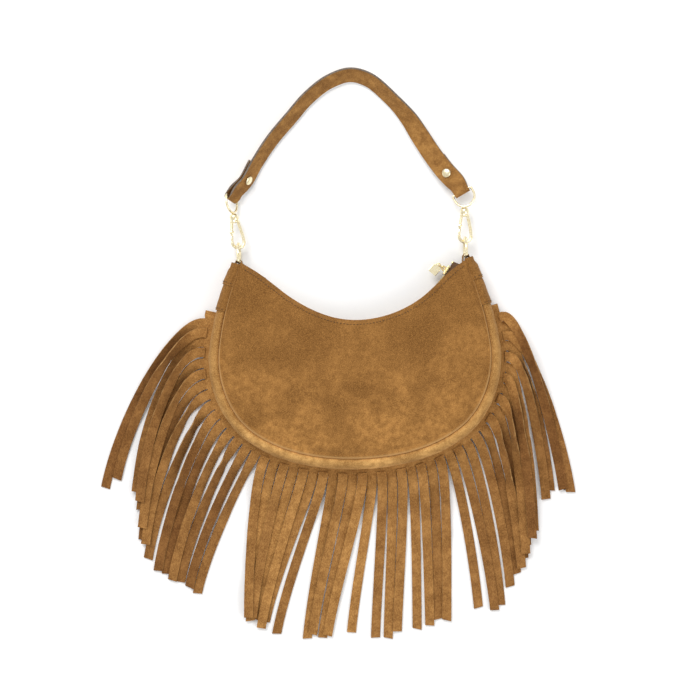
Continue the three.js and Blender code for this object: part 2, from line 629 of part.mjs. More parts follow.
function strapFrame(distance) {
  const u = THREE.MathUtils.clamp(distance / runLength, 0, 1);
  const tangent = run.getTangentAt(u);
  const outward = vector(-tangent.y, tangent.x).normalize();
  const roll = rollAt(u) * DEGREE;
  const across = outward.multiplyScalar(Math.cos(roll)).add(vector(0, 0, Math.sin(roll)));
  const nearLeft = 1 - THREE.MathUtils.smoothstep(distance, 0, TURN_LENGTH);
  const nearRight = THREE.MathUtils.smoothstep(distance, runLength - TURN_LENGTH, runLength);
  across.lerp(leftEnd.across.clone().multiplyScalar(-1), nearLeft).lerp(rightEnd.across, nearRight);
  across.addScaledVector(tangent, -across.dot(tangent)).normalize();
  const face = tangent.clone().cross(across).negate().normalize();
  if (face.z < 0) face.negate();
  return { centre: run.getPointAt(u), tangent, across, face };
}

// Distance of the leather's middle from the run's centre line, opening into a loop at each eye
function layerOffset(fromEnd) {
  const open = 1 - THREE.MathUtils.smoothstep(fromEnd, 0, END_LENGTH);
  return LAYER_OFFSET + (FOLD_RADIUS - LAYER_OFFSET) * open;
}
const strapWidth = (fromEnd) => (
  STRAP_END_WIDTH + (STRAP_WIDTH - STRAP_END_WIDTH) * THREE.MathUtils.smoothstep(fromEnd, 0, END_LENGTH)
);

function strapStations() {
  const stations = [];
  const place = (distance, offset, along = 0, normal = [1, 0]) => {
    const frame = strapFrame(distance);
    const fromEnd = Math.min(distance, runLength - distance);
    const centre = frame.centre.clone();
    centre.addScaledVector(frame.face, offset).addScaledVector(frame.tangent, along);
    const [across, onward] = normal;
    const face = frame.face.clone().multiplyScalar(across).addScaledVector(frame.tangent, onward);
    stations.push({ centre, face, half: strapWidth(fromEnd) / 2, across: frame.across });
  };
  const tail = steps(8, TAIL_LENGTH, 2);
  for (const d of tail) place(d, -layerOffset(d), 0, [-1, 0]);
  for (const a of steps(8, -90, 90)) {
    const [rise, reach] = [Math.sin(a * DEGREE), Math.cos(a * DEGREE)];
    place(0, FOLD_RADIUS * rise, -FOLD_RADIUS * reach, [rise, -reach]);
  }
  const middle = [...tail].reverse();
  for (const d of middle) place(d, layerOffset(d));
  for (const d of steps(22, TAIL_LENGTH + 10, runLength - TAIL_LENGTH - 10)) {
    place(d, layerOffset(Math.min(d, runLength - d)));
  }
  for (const d of tail) place(runLength - d, layerOffset(d));
  for (const a of steps(8, 90, -90)) {
    const [rise, reach] = [Math.sin(a * DEGREE), Math.cos(a * DEGREE)];
    place(runLength, FOLD_RADIUS * rise, FOLD_RADIUS * reach, [rise, reach]);
  }
  for (const d of middle) place(runLength - d, -layerOffset(d), 0, [-1, 0]);
  return stations;
}

const strapSide = (stations, sign) => stations.map(({ centre, face, half, across }) => {
  const point = centre.clone().addScaledVector(face, (sign * STRAP_THICKNESS) / 2);
  return [point.clone().addScaledVector(across, -half), point.clone().addScaledVector(across, half)];
});
const stations = strapStations();
const strapSolid = slab(strapSide(stations, 1), strapSide(stations, -1));

// Rivets through both layers: a cap with a post, and a cap behind
function standing(geometry, frame) {
  const third = frame.across.clone().cross(frame.face);
  const basis = new THREE.Matrix4().makeBasis(frame.across, frame.face, third);
  return geometry.applyMatrix4(basis).translate(frame.centre.x, frame.centre.y, frame.centre.z);
}
const rivetFrames = [strapFrame(RIVET_AT), strapFrame(runLength - RIVET_AT)];
const CAP_RADIUS = 4.4;
const CAP_HEIGHT = 1.5;
const CAP_START = LAYER_OFFSET + STRAP_THICKNESS / 2 + GAP + 0.15;
const capProfile = [
  [0, 0], [CAP_RADIUS, 0], [CAP_RADIUS, 0.4], [CAP_RADIUS * 0.8, 1.1],
  [CAP_RADIUS * 0.4, CAP_HEIGHT - 0.1], [0, CAP_HEIGHT],
].map(([r, y]) => new THREE.Vector2(r, y));
const cap = () => new THREE.LatheGeometry(capProfile, 20).translate(0, CAP_START, 0);
const holes = rivetFrames.map((frame) => standing(rodAlongY(1.9, -9, 9, 14), frame));
add(bag, 'strap', cut(strapSolid, ...holes), suede());
['left', 'right'].forEach((side, i) => {
  const front = join(cap(), rodAlongY(1.5, -CAP_START + GAP, CAP_START + 0.3, 14));
  add(bag, `${side}_rivet`, standing(front, rivetFrames[i]), gold());
  add(bag, `${side}_rivet_back_cap`, standing(cap().rotateX(Math.PI), rivetFrames[i]), gold());
});

export default bag;
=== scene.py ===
"""Half-moon shoulder bag of camel suede with a fringed edge, lying on its back."""
import math
import random
import bmesh
import bpy
from mathutils.geometry import interpolate_bezier
from mathutils import Matrix, Vector, noise


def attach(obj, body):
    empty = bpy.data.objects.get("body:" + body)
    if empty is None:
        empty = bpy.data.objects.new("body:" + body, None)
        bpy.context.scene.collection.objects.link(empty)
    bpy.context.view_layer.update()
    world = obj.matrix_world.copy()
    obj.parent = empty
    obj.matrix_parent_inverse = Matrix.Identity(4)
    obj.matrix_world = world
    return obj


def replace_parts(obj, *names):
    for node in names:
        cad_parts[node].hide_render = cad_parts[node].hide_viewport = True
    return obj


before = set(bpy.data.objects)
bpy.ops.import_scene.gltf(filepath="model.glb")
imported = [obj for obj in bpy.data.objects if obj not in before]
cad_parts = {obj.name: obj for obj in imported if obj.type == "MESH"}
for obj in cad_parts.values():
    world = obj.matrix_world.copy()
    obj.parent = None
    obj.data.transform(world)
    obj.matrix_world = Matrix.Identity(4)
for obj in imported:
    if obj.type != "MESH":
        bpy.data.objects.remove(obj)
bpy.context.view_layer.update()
MM = 0.001

# Camel suede, brushed on both faces. The nap lies in soft patches, lighter where it was stroked one way
# and darker the other, over a fine fibre. Cut edges show the paler, rougher inside of the hide. Painted
# shade darkens the colour towards the top of the bag, and painted highlights lighten some raised edges.


def linear(colour):
    values = [int(colour[i:i + 2], 16) / 255 for i in (0, 2, 4)]
    return tuple(v / 12.92 if v <= 0.04045 else ((v + 0.055) / 1.055) ** 2.4 for v in values) + (1.0,)


def add_node(tree, kind, **values):
    made = tree.nodes.new(kind)
    for key, value in values.items():
        if key in ("operation", "blend_type", "data_type", "noise_dimensions", "attribute_name", "uv_map"):
            setattr(made, key, value)
        else:
            made.inputs[key.replace("_", " ")].default_value = value
    return made


def noise_of(tree, source, scale, detail=3.0, stretch=(1, 1, 1), roughness=0.55):
    mapping = add_node(tree, "ShaderNodeMapping")
    mapping.inputs["Scale"].default_value = stretch
    tree.links.new(source, mapping.inputs["Vector"])
    made = add_node(tree, "ShaderNodeTexNoise", Scale=scale, Detail=detail, Roughness=roughness)
    tree.links.new(mapping.outputs[0], made.inputs["Vector"])
    return made.outputs["Fac"]


def curve_of(tree, source, low, high, to_low=0.0, to_high=1.0):
    made = tree.nodes.new("ShaderNodeMapRange")
    made.interpolation_type = "SMOOTHSTEP"
    for key, value in (("From Min", low), ("From Max", high), ("To Min", to_low), ("To Max", to_high)):
        made.inputs[key].default_value = value
    tree.links.new(source, made.inputs["Value"])
    return made.outputs["Result"]


def blend_of(tree, factor, first, second, kind="MIX"):
    made = add_node(tree, "ShaderNodeMix", data_type="RGBA", blend_type=kind)
    for place, value in ((0, factor), (6, first), (7, second)):
        if isinstance(value, (tuple, float, int)):
            made.inputs[place].default_value = value
        else:
            tree.links.new(value, made.inputs[place])
    return made.outputs[2]


def finish_of(name, rough=0.9, metal=0.0):
    made = bpy.data.materials.new(name)
    made.use_nodes = True
    shader = made.node_tree.nodes["Principled BSDF"]
    shader.inputs["Roughness"].default_value = rough
    shader.inputs["Metallic"].default_value = metal
    return made, made.node_tree, shader


def suede(
    name, light, dark, patch=16.0, low=0.38, high=0.62, streak=(1, 1, 1), shaded=False, sheen=0.2, painted_top_shade=0.0
):
    made, tree, shader = finish_of(name)
    shader.inputs["Sheen Weight"].default_value = sheen
    shader.inputs["Sheen Roughness"].default_value = 0.45
    shader.inputs["Sheen Tint"].default_value = linear("E3BE8C")
    shader.inputs["Specular IOR Level"].default_value = 0.2
    place = add_node(tree, "ShaderNodeTexCoord").outputs["Object"]
    patches = curve_of(tree, noise_of(tree, place, patch, 5.0, roughness=0.6), low, high)
    mottle = noise_of(tree, place, 190.0, 4.0)
    fibre = noise_of(tree, place, 1500.0, 2.0, streak)
    # Painted shade: the colour is darkened towards the top of the bag, the mouth end, by the given share.
    if painted_top_shade:
        across = add_node(tree, "ShaderNodeSeparateXYZ")
        tree.links.new(place, across.inputs[0])
        top_shade_ramp = curve_of(tree, across.outputs["Y"], -0.08, 0.07, 1.0, 1.0 - painted_top_shade)
        both = add_node(tree, "ShaderNodeMath", operation="MULTIPLY")
        tree.links.new(patches, both.inputs[0])
        tree.links.new(top_shade_ramp, both.inputs[1])
        patches = both.outputs[0]
    colour = blend_of(tree, patches, linear(dark), linear(light))
    colour = blend_of(tree, curve_of(tree, mottle, 0.32, 0.68, 0.0, 0.6), colour, linear(dark))
    colour = blend_of(tree, curve_of(tree, fibre, 0.38, 0.68, 0.0, 0.5), colour, linear(light), "SCREEN")
    fine = noise_of(tree, place, 3200.0, 1.0, streak)
    colour = blend_of(tree, curve_of(tree, fine, 0.5, 0.7, 0.0, 0.4), colour, linear("6E4A22"), "MULTIPLY")
    if shaded:
        # Random tone and painted shade of the fringe ribbons, read from a vertex attribute.
        tone_and_shade = add_node(tree, "ShaderNodeAttribute", attribute_name="tone_and_shade").outputs["Fac"]
        colour = blend_of(tree, tone_and_shade, colour, linear("7A5228"), "MULTIPLY")
    # Painted highlight: a light colour laid in by a vertex attribute along raised edges.
    highlight_mask = add_node(tree, "ShaderNodeAttribute", attribute_name="wear_and_highlight").outputs["Fac"]
    colour = blend_of(tree, highlight_mask, colour, linear("D9AE74"))
    tree.links.new(colour, shader.inputs["Base Color"])
    first = add_node(tree, "ShaderNodeBump", Strength=0.6, Distance=0.0007)
    tree.links.new(mottle, first.inputs["Height"])
    second = add_node(tree, "ShaderNodeBump", Strength=0.55, Distance=0.00035)
    tree.links.new(fibre, second.inputs["Height"])
    tree.links.new(first.outputs[0], second.inputs["Normal"])
    tree.links.new(second.outputs[0], shader.inputs["Normal"])
    return made


body_suede = suede("body_suede", "AC793F", "654119", patch=20.0, low=0.3, high=0.68, painted_top_shade=0.62)
# The side band has the panels' suede given lighter colours as painted light, with painted shade taking it
# back to its dark colour towards the top.
band_suede_painted_light = suede("band_suede_painted_light", "D8A360", "805627", patch=30.0, low=0.24, high=0.64, painted_top_shade=1.0)
edge_suede = suede("suede_cut_edge", "A77F4E", "6B4520", patch=120.0, sheen=0.1)

# Sheets of leather are made flat as a grid and then laid where they go, so each keeps its own flat
# coordinates in its UV map, in metres.


def laid(bm, across, along, size, place, wear_and_highlight=None):
    rub_and_highlight = bm.verts.layers.float.get("wear_and_highlight") or bm.verts.layers.float.new("wear_and_highlight")
    made = bmesh.ops.create_grid(bm, x_segments=across, y_segments=along, size=0.5)["verts"]
    flat = bm.loops.layers.uv.verify()
    for face in {f for v in made for f in v.link_faces}:
        for corner in face.loops:
            co = corner.vert.co
            corner[flat].uv = ((co.x + 0.5) * size[0], (co.y + 0.5) * size[1])
    for vertex in made:
        u, v = vertex.co.x + 0.5, vertex.co.y + 0.5
        vertex.co = place(u, v)
        # Painted highlight: an optional share of light colour for each vertex, stored in a vertex attribute.
        if wear_and_highlight:
            vertex[rub_and_highlight] = wear_and_highlight(u, v)
    return made


def shown(name, bm, materials, smooth=True):
    bmesh.ops.remove_doubles(bm, verts=bm.verts, dist=1e-6)
    bmesh.ops.recalc_face_normals(bm, faces=bm.faces)
    mesh = bpy.data.meshes.new(name)
    bm.to_mesh(mesh)
    bm.free()
    for material in materials:
        mesh.materials.append(material)
    if smooth:
        mesh.shade_smooth()
    made = bpy.data.objects.new(name, mesh)
    bpy.context.scene.collection.objects.link(made)
    return made


def thicken(obj, thickness, offset=0.0, edge=0.3 * MM, rim=1, segments=2):
    solid = obj.modifiers.new("thickness", "SOLIDIFY")
    solid.thickness = thickness
    solid.offset = offset
    solid.material_offset_rim = rim
    solid.use_even_offset = True
    solid.thickness_clamp = 1.0
    soft = obj.modifiers.new("soft_edge", "BEVEL")
    soft.width = edge
    soft.segments = segments
    soft.limit_method = "ANGLE"
    soft.angle_limit = math.radians(50)
    soft.harden_normals = True
    return obj


# Outline: the seam between the front panel and the side band, from the left corner round to the right.


def smooth_line(points, count):
    """Equally spaced points of a smooth curve through the given ones"""
    points = [Vector(p) for p in points]
    ends = [points[0] * 2 - points[1]] + points + [points[-1] * 2 - points[-2]]
    fine = []
    for i in range(1, len(ends) - 2):
        p0, p1, p2, p3 = ends[i - 1:i + 3]
        d0, d1, d2 = ((b - a).length ** 0.5 for a, b in ((p0, p1), (p1, p2), (p2, p3)))
        t1 = ((p1 - p0) / d0 - (p2 - p0) / (d0 + d1) + (p2 - p1) / d1) * d1
        t2 = ((p2 - p1) / d1 - (p3 - p1) / (d1 + d2) + (p3 - p2) / d2) * d1
        for k in range(24):
            t = k / 24
            fine.append(
                p1 * (2 * t ** 3 - 3 * t ** 2 + 1) + t1 * (t ** 3 - 2 * t ** 2 + t)
                + p2 * (-2 * t ** 3 + 3 * t ** 2) + t2 * (t ** 3 - t ** 2)
            )
    fine.append(points[-1])
    reach = [0.0]
    for a, b in zip(fine, fine[1:]):
        reach.append(reach[-1] + (b - a).length)
    line, k = [], 0
    for i in range(count + 1):
        goal = reach[-1] * i / count
        while k < len(reach) - 2 and reach[k + 1] < goal:
            k += 1
        line.append(fine[k].lerp(fine[k + 1], (goal - reach[k]) / max(reach[k + 1] - reach[k], 1e-12)))
    return line, reach[-1]


def along_line(line, u):
    """Place and direction at the fraction u of an equally spaced line"""
    x = min(max(u, 0.0), 1.0) * (len(line) - 1)
    i = min(int(x), len(line) - 2)
    before, after = line[max(i - 1, 0)], line[min(i + 2, len(line) - 1)]
    direction = (
        (line[i + 1] - line[i]) * 2 + (line[i + 1] - before) * (1 - x + i) + (after - line[i]) * (x - i)
    )
    return line[i].lerp(line[i + 1], x - i), direction.normalized()


right_half = [
    (46, -84.5), (82, -72), (107, -54), (123, -28), (129.5, 3), (126.5, 34), (119, 66), (109.5, 94.5),
]
outline = [(-x, y) for x, y in reversed(right_half)] + [(0, -89)] + right_half
seam, seam_length = smooth_line([(x * MM, y * MM, 0) for x, y in outline], 500)


def seam_point(s, out=0.0):
    inside = min(max(s, 0.0), 1.0)
    place, way = along_line(seam, inside)
    return place + way * ((s - inside) * seam_length) + Vector((way.y, -way.x, 0)) * out


SUEDE = 1.8 * MM
CORNER_HEIGHT, FULL_HEIGHT = 27 * MM, 40 * MM
CORNER_BULGE, FULL_BULGE = 6.5 * MM, 10 * MM


def fullness(s):
    return 1 - (1 - min(1, max(0, min(s, 1 - s)) * seam_length / 0.110)) ** 2


def height_at(s):
    return CORNER_HEIGHT + (FULL_HEIGHT - CORNER_HEIGHT) * fullness(s)


def bulge_at(s):
    return CORNER_BULGE + (FULL_BULGE - CORNER_BULGE) * fullness(s)


def smoothstep(x, low=0.0, high=1.0):
    t = min(max((x - low) / (high - low), 0.0), 1.0)
    return t * t * (3 - 2 * t)


# The mouth is an arc between two short edges that run to the corners.
MOUTH_CENTRE = Vector((3 * MM, 150 * MM, 0))
MOUTH_RADIUS = 107 * MM


def mouth_point(angle, radius=MOUTH_RADIUS, z=0.0):
    a = math.radians(angle)
    return MOUTH_CENTRE + Vector((radius * math.sin(a), -radius * math.cos(a), z))


def edge_flare(angle):
    """Millimetres by which the edge leaves its arc: out at both corners, in a little along the left half"""
    return 0.00075 * max(0, abs(angle) - 40) ** 3 - 2.4 * math.sin(math.pi * min(angle, 0) / 66) ** 2


edge_turns = [-66 + 130.5 * i / 14 for i in range(15)]
mouth_path = [mouth_point(a, MOUTH_RADIUS + edge_flare(a) * MM) for a in edge_turns]
mouth, mouth_length = smooth_line(mouth_path, 300)


def mouth_height(s):
    return CORNER_HEIGHT + 7 * MM * math.sin(math.pi * s)


# Front panel: one soft piece of suede, turned over at the mouth and sewn into the seam all round. It is
# full in the middle, sinks towards the seam and puckers a little along it.


def panel_plan(s, t):
    return along_line(mouth, s)[0].lerp(seam_point(s, -0.3 * MM), t)


def front_top(s, t):
    plan = panel_plan(s, t)
    base = mouth_height(s) * (1 - t) + height_at(s) * t
    base += 8 * MM * math.sin(math.pi * t) ** 0.9 * math.sin(math.pi * s) ** 0.6
    span = (along_line(mouth, s)[0] - seam_point(s)).length
    from_seam = span * (1 - t)
    from_mouth = span * t
    roll = 2.6 * MM * (1 - smoothstep(from_seam, 0, 2.0 * MM))
    roll += 0.6 * MM * math.exp(-((from_seam - 5.5 * MM) / (2 * MM)) ** 2)
    roll -= 0.5 * MM * math.exp(-((from_seam - 2.2 * MM) / (1 * MM)) ** 2)
    turned = 1.6 * MM * (1 - smoothstep(from_mouth, 0, 4.5 * MM))
    sag = noise.noise(plan * 22 + Vector((4.2, 1.3, 0))) * 1.5 * MM
    sag += noise.noise(plan * 55) * 0.5 * MM
    pucker = noise.noise(Vector((s * 95, 0, 3))) * 0.45 * MM * (1 - smoothstep(from_seam, 3 * MM, 16 * MM))
    calm = smoothstep(from_seam, 0, 12 * MM) * smoothstep(from_mouth, 0, 8 * MM)
    return plan + Vector((0, 0, base - roll - turned + sag * calm + pucker - SUEDE / 2))


def crowd(v):
    """Rows of the grid drawn closer together towards both edges"""
    return v + math.sin(2 * math.pi * v) * -0.12


# Painted highlight: a light line on the rolled edge about 1.1 mm in from the front seam.
def front_highlight(u, v):
    gap = (along_line(mouth, u)[0] - seam_point(u)).length * (1 - crowd(v))
    return 0.75 * math.exp(-((gap - 1.1 * MM) / (0.9 * MM)) ** 2)


bm = bmesh.new()
laid(bm, 170, 60, (mouth_length, 0.13), lambda u, v: front_top(u, crowd(v)), front_highlight)
front = shown("front_panel_soft", bm, [body_suede, edge_suede])
thicken(front, SUEDE, edge=0.5 * MM)
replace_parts(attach(front, "bag"), "front_panel")

# Back panel: the same outline, flat on the table.
bm = bmesh.new()
laid(bm, 120, 12, (mouth_length, 0.13), lambda u, v: panel_plan(u, v) + Vector((0, 0, SUEDE / 2)))
back = shown("back_panel_soft", bm, [body_suede, edge_suede])
thicken(back, SUEDE, edge=0.4 * MM)
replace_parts(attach(back, "bag"), "back_panel")

# Side band: a long strip of suede sewn between the two panels, standing out in a soft roll beyond the
# front seam and turned in again under the back.
BAND_SHAPE = [
    (0.2, 0, -4.2), (1.1, 0, -2.2), (2.9, 0, -1.2), (5.4, 0, -2.6), (7.6, 0, -6.5), (9.0, 0, -12.5),
    (9.6, 0.48, 0), (10.0, 0.36, 0), (9.8, 0, 10.2), (8.6, 0, 8.4), (5.2, 0, 5.0), (1.2, 0, 3.0),
]


def band_profile(s, count):
    bulge, height = bulge_at(s) / 10, height_at(s)
    squeeze = height / FULL_HEIGHT
    shape = []
    for out, share, rise in BAND_SHAPE:
        base = 0.0 if rise > 0 else height
        up = share * height if share else base + rise * MM * (squeeze if rise < -4.5 or rise > 4.4 else 1)
        shape.append((out * bulge, up, 0))
    return smooth_line(shape, count)[0]


def band_point(s, v, offset=0.0, pucker=1.0):
    line = band_profile(s, 24)
    place, way = along_line(line, v)
    out, up = place.x - way.y * offset, place.y + way.x * offset
    fold = noise.noise(Vector((s * 60, v * 2, 7))) * 0.5 * MM * pucker * math.sin(math.pi * v)
    return seam_point(s, out + fold) + Vector((0, 0, up))


bm = bmesh.new()
# Painted highlight: a light line along the band's outermost ridge.
laid(bm, 220, 24, (seam_length, 0.052), lambda u, v: band_point(u, v),
     lambda u, v: 0.45 * math.exp(-((v - 0.62) / 0.03) ** 2))
band = shown("side_band_soft", bm, [band_suede_painted_light, edge_suede])
thicken(band, SUEDE, edge=0.4 * MM)
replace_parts(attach(band, "bag"), "side_band")

# Facings: short pieces of the same suede sewn over the two top ends of the side band.
SKIVED = 1.2 * MM
for side, start, end in (("left", -0.009, 0.078), ("right", 0.922, 1.009)):
    def facing_point(u, v, start=start, end=end):
        s = start + (end - start) * u
        return band_point(s, 0.05 + 0.66 * v, 0.9 * MM + SKIVED / 2 + 0.15 * MM, 0.9)
    bm = bmesh.new()
    laid(bm, 28, 16, (0.048, 0.024), facing_point)
    facing = shown(side + "_side_facing_soft", bm, [body_suede, edge_suede])
    thicken(facing, SKIVED, edge=0.3 * MM)
    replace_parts(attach(facing, "bag"), side + "_side_facing")

# Ring tabs: a strip folded round the straight bar of each D-ring, its outer end sewn down over the
# facing and its inner end inside the mouth.
RING_X, RING_Z = 109 * MM, 13.5 * MM
RING_BAR_Y, RING_ARC_Y, RING_RADIUS, RING_WIRE = 101.5 * MM, 108.5 * MM, 11 * MM, 1.5 * MM
tab_loop = RING_WIRE + 0.4 * MM + SUEDE / 2
tab_path = [(-tab_loop + 0.6 * MM, 86 * MM, 0), (-tab_loop, 94 * MM, 0), (-tab_loop, RING_BAR_Y - MM, 0)]
for angle in range(150, -1, -30):
    a = math.radians(angle)
    tab_path.append((tab_loop * math.cos(a), RING_BAR_Y + tab_loop * math.sin(a), 0))
for i in range(5):
    s = 0.995 - 0.027 * i / 4
    tab_path.append(seam_point(s, bulge_at(s) + 3.2 * MM) - Vector((RING_X, 0, 0)))
tab_line, tab_length = smooth_line(tab_path, 60)
TAB_TURN = 0.52
for side, sign in (("left", -1), ("right", 1)):
    def tab_point(u, v, sign=sign):
        place, way = along_line(tab_line, u)
        width = 16.4 * MM - 1.2 * MM * math.sin(math.pi * u)
        strip = Vector((sign * (place.x + RING_X), place.y, RING_Z + (0.5 - v) * width))
        if u < TAB_TURN:
            return strip
        sewn = (u - TAB_TURN) / (1 - TAB_TURN)
        s = 0.999 - 0.031 * sewn
        lift = 0.9 * MM + 1.5 * SKIVED + 0.35 * MM
        lying = band_point(s if sign > 0 else 1 - s, 0.06 + 0.62 * v, lift, 0.9)
        return strip.lerp(lying, smoothstep(sewn, 0, 0.4))
    bm = bmesh.new()
    laid(bm, 70, 12, (tab_length, 0.0164), tab_point)
    tab = shown(side + "_ring_tab_soft", bm, [body_suede, edge_suede])
    thicken(tab, SKIVED, edge=0.3 * MM)
    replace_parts(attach(tab, "bag"), side + "_ring_tab")

# Stitching: short runs of brown thread, one along the mouth and one across the end of each facing and
# tab, every stitch sunk a little in the nap.
STITCH = 2.1 * MM
thread, tree, shader = finish_of("stitch_thread", 0.75)
place = add_node(tree, "ShaderNodeTexCoord").outputs["Object"]
twist = noise_of(tree, place, 2600.0, 2.0)
tree.links.new(blend_of(tree, twist, linear("3C2611"), linear("5C3F20")), shader.inputs["Base Color"])
bm = bmesh.new()


def stitch(place, way, up):
    third = way.cross(up).normalized()
    turn = Matrix.Translation(place) @ Matrix((way.normalized(), third, up)).transposed().to_4x4()
    turn = turn @ Matrix.Diagonal((STITCH / 2, 0.32 * MM, 0.28 * MM, 1))
    bmesh.ops.create_uvsphere(bm, u_segments=6, v_segments=4, radius=1, matrix=turn)


def mouth_seam(s):
    span = (along_line(mouth, s)[0] - seam_point(s)).length
    return front_top(s, min(4.2 * MM / span, 0.3)) + Vector((0, 0, SUEDE / 2 + 0.05 * MM))


MOUTH_STITCHES = 78
for i in range(MOUTH_STITCHES):
    s = 0.035 + 0.93 * i / (MOUTH_STITCHES - 1)
    ahead = mouth_seam(s + 0.002) - mouth_seam(s - 0.002)
    stitch(mouth_seam(s), ahead, Vector((0, 0, 1)))
for s, lift in ((0.0745, 1.0), (0.9255, 1.0), (0.0275, 2.0), (0.9725, 2.0)):
    for i in range(9):
        v = 0.11 + 0.055 * i
        rise = 0.9 * MM + lift * (SKIVED + 0.2 * MM)
        place, after = band_point(s, v, rise, 0.9), band_point(s, v + 0.02, rise, 0.9)
        out = band_point(s, v, rise + MM, 0.9) - place
        stitch(place, after - place, out.normalized())
stitching = shown("stitching", bm, [thread])
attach(stitching, "bag")

# Fringe: one strip of suede caught in the back seam. Past its uncut header it is cut into ribbons about
# nine millimetres wide, which run straight out, bend over and lie on the table or on each other.
# They hang in locks: how many ribbons, where the first and the last one end (mm), how far they stand
# out before they fall (mm) and how far they are rolled over at the bend (degrees).
FRINGE_THICK, RIBBON_WIDTH = 1.4 * MM, 9.3 * MM
HEADER_OUT, HEADER_START, FIRST_RIBBON, RIBBON_PITCH = 16.5 * MM, 0.082, 0.1031, 0.01616
ROOT_HEIGHT = 7 * MM
LOCKS = [
    (2, (-244, -112), (-234, -100), 42, 48),
    (6, (-214, -114), (-208, -170), 34, 58),
    (7, (-205, -184), (-160, -220), 24, 56),
    (6, (-110, -238), (-95, -250), 30, 14),
    (1, (-82, -254), (-82, -254), 30, 6),
    (4, (-52, -262), (-34, -261), 34, 16),
    (1, (-12, -258), (-12, -258), 30, 4),
    (3, (14, -262), (36, -259), 30, 2),
    (1, (53, -256), (53, -256), 26, 4),
    (3, (65, -255), (82, -247), 26, 20),
    (1, (114, -238), (114, -238), 24, 24),
    (2, (128, -236), (136, -233), 22, 30),
    (1, (146, -217), (146, -217), 20, 40),
    (7, (152, -204), (168, -162), 14, 62),
    (2, (182, -133), (188, -129), 18, 60),
    (3, (206, -131), (199, -123), 22, 60),
]
LEFT_COUNT, BOTTOM_COUNT = 15, 19      # ribbons on the left side, and along the bottom
header_top = {}
CELL = 1.2 * MM


def cell_of(point):
    return round(point.x / CELL), round(point.y / CELL)


# Each ribbon leaves the header square to the seam and bends over to the fall of its lock, rolled most
# just after the bend and flat again at its tip.
hang = random.Random(3)
ribbons = []
for count, first, last, reach, roll in LOCKS:
    for k in range(count):
        tip = Vector(first).lerp(Vector(last), k / max(count - 1, 1))
        tip += Vector((hang.uniform(-2, 2), hang.uniform(-5, 3)))
        ribbons.append((tip.to_3d() * MM, reach * hang.uniform(0.8, 1.1) * MM, roll * hang.uniform(0.8, 1.1)))


def ribbon_route(index):
    s = FIRST_RIBBON + RIBBON_PITCH * index
    tip, reach, roll = ribbons[index]
    root, knee, out = (seam_point(s, HEADER_OUT + extra) for extra in (-1.2 * MM, 2 * MM, 2 * MM + reach))
    fall = (tip - out) * 0.45
    fall.x *= 0.6
    bend = interpolate_bezier(knee, knee.lerp(out, 0.75), tip - fall, tip, 24)
    line, length = smooth_line([root] + bend, 80)
    turns = [(0.0, 0.0), (0.03, 0.0), (0.16, roll), (0.34, 0.9 * roll), (0.66, 0.2 * roll), (1.0, 0.0)]
    return line, length, turns


def turn_at(turns, u):
    for (u0, a0), (u1, a1) in zip(turns, turns[1:]):
        if u <= u1:
            return a0 + (a1 - a0) * smoothstep(u, u0, u1)
    return turns[-1][1]


def rest_height(place, across, roll):
    """Lowest height at which a ribbon's middle clears what already lies under it there"""
    need = 0.0
    for k in range(-4, 5):
        side = k / 4 * RIBBON_WIDTH / 2
        under = header_top.get(cell_of(place + across * (side * math.cos(roll))), 0.0)
        need = max(need, under + FRINGE_THICK / 2 + 0.15 * MM - side * math.sin(roll))
    return need


def ribbon_stations(index):
    line, length, turns = ribbon_route(index)
    flip = 1 if index < LEFT_COUNT + BOTTOM_COUNT // 2 else -1
    found = []
    for i, place in enumerate(line):
        u = i / (len(line) - 1)
        way = along_line(line, u)[1]
        across = Vector((way.y, -way.x, 0)) * flip
        wanted = turn_at(turns, u)
        loose = 14 if u > 0.1 else 0
        best = min(
            (rest_height(place, across, math.radians(wanted + d)) + abs(d) * 0.05 * MM, wanted + d)
            for d in (-loose, -loose / 2, 0, loose / 2, loose)
        )
        found.append([place, across, best[1], u * length])
    rolls = [f[2] for f in found]
    for _ in range(5):
        between = [(a + 2 * b + c) / 4 for a, b, c in zip(rolls, rolls[1:], rolls[2:])]
        rolls = [rolls[0]] + between + [rolls[-1]]
    heights = [
        max(rest_height(f[0], f[1], math.radians(r)), ROOT_HEIGHT * (1 - smoothstep(f[3], 4 * MM, 30 * MM)))
        for f, r in zip(found, rolls)
    ]
    step = length / (len(line) - 1)
    lifted = [max(h - 0.16 * step * abs(i - k) for k, h in enumerate(heights)) for i in range(len(heights))]
    for _ in range(4):
        between = [max(b, (a + c) / 2) for a, b, c in zip(lifted, lifted[1:], lifted[2:])]
        lifted = [lifted[0]] + between + [lifted[-1]]
    return [(f[0], f[1], math.radians(r), z) for f, r, z in zip(found, rolls, lifted)], length


def settle(stations):
    for (place, across, roll, z), (after, *_) in zip(stations, stations[1:] + stations[-1:]):
        for k in range(-5, 6):
            side = k / 5 * RIBBON_WIDTH / 2
            top = z + side * math.sin(roll) + FRINGE_THICK / 2
            for spot in (place, place.lerp(after, 0.5)):
                cell = cell_of(spot + across * (side * math.cos(roll)))
                header_top[cell] = max(header_top.get(cell, 0.0), top)


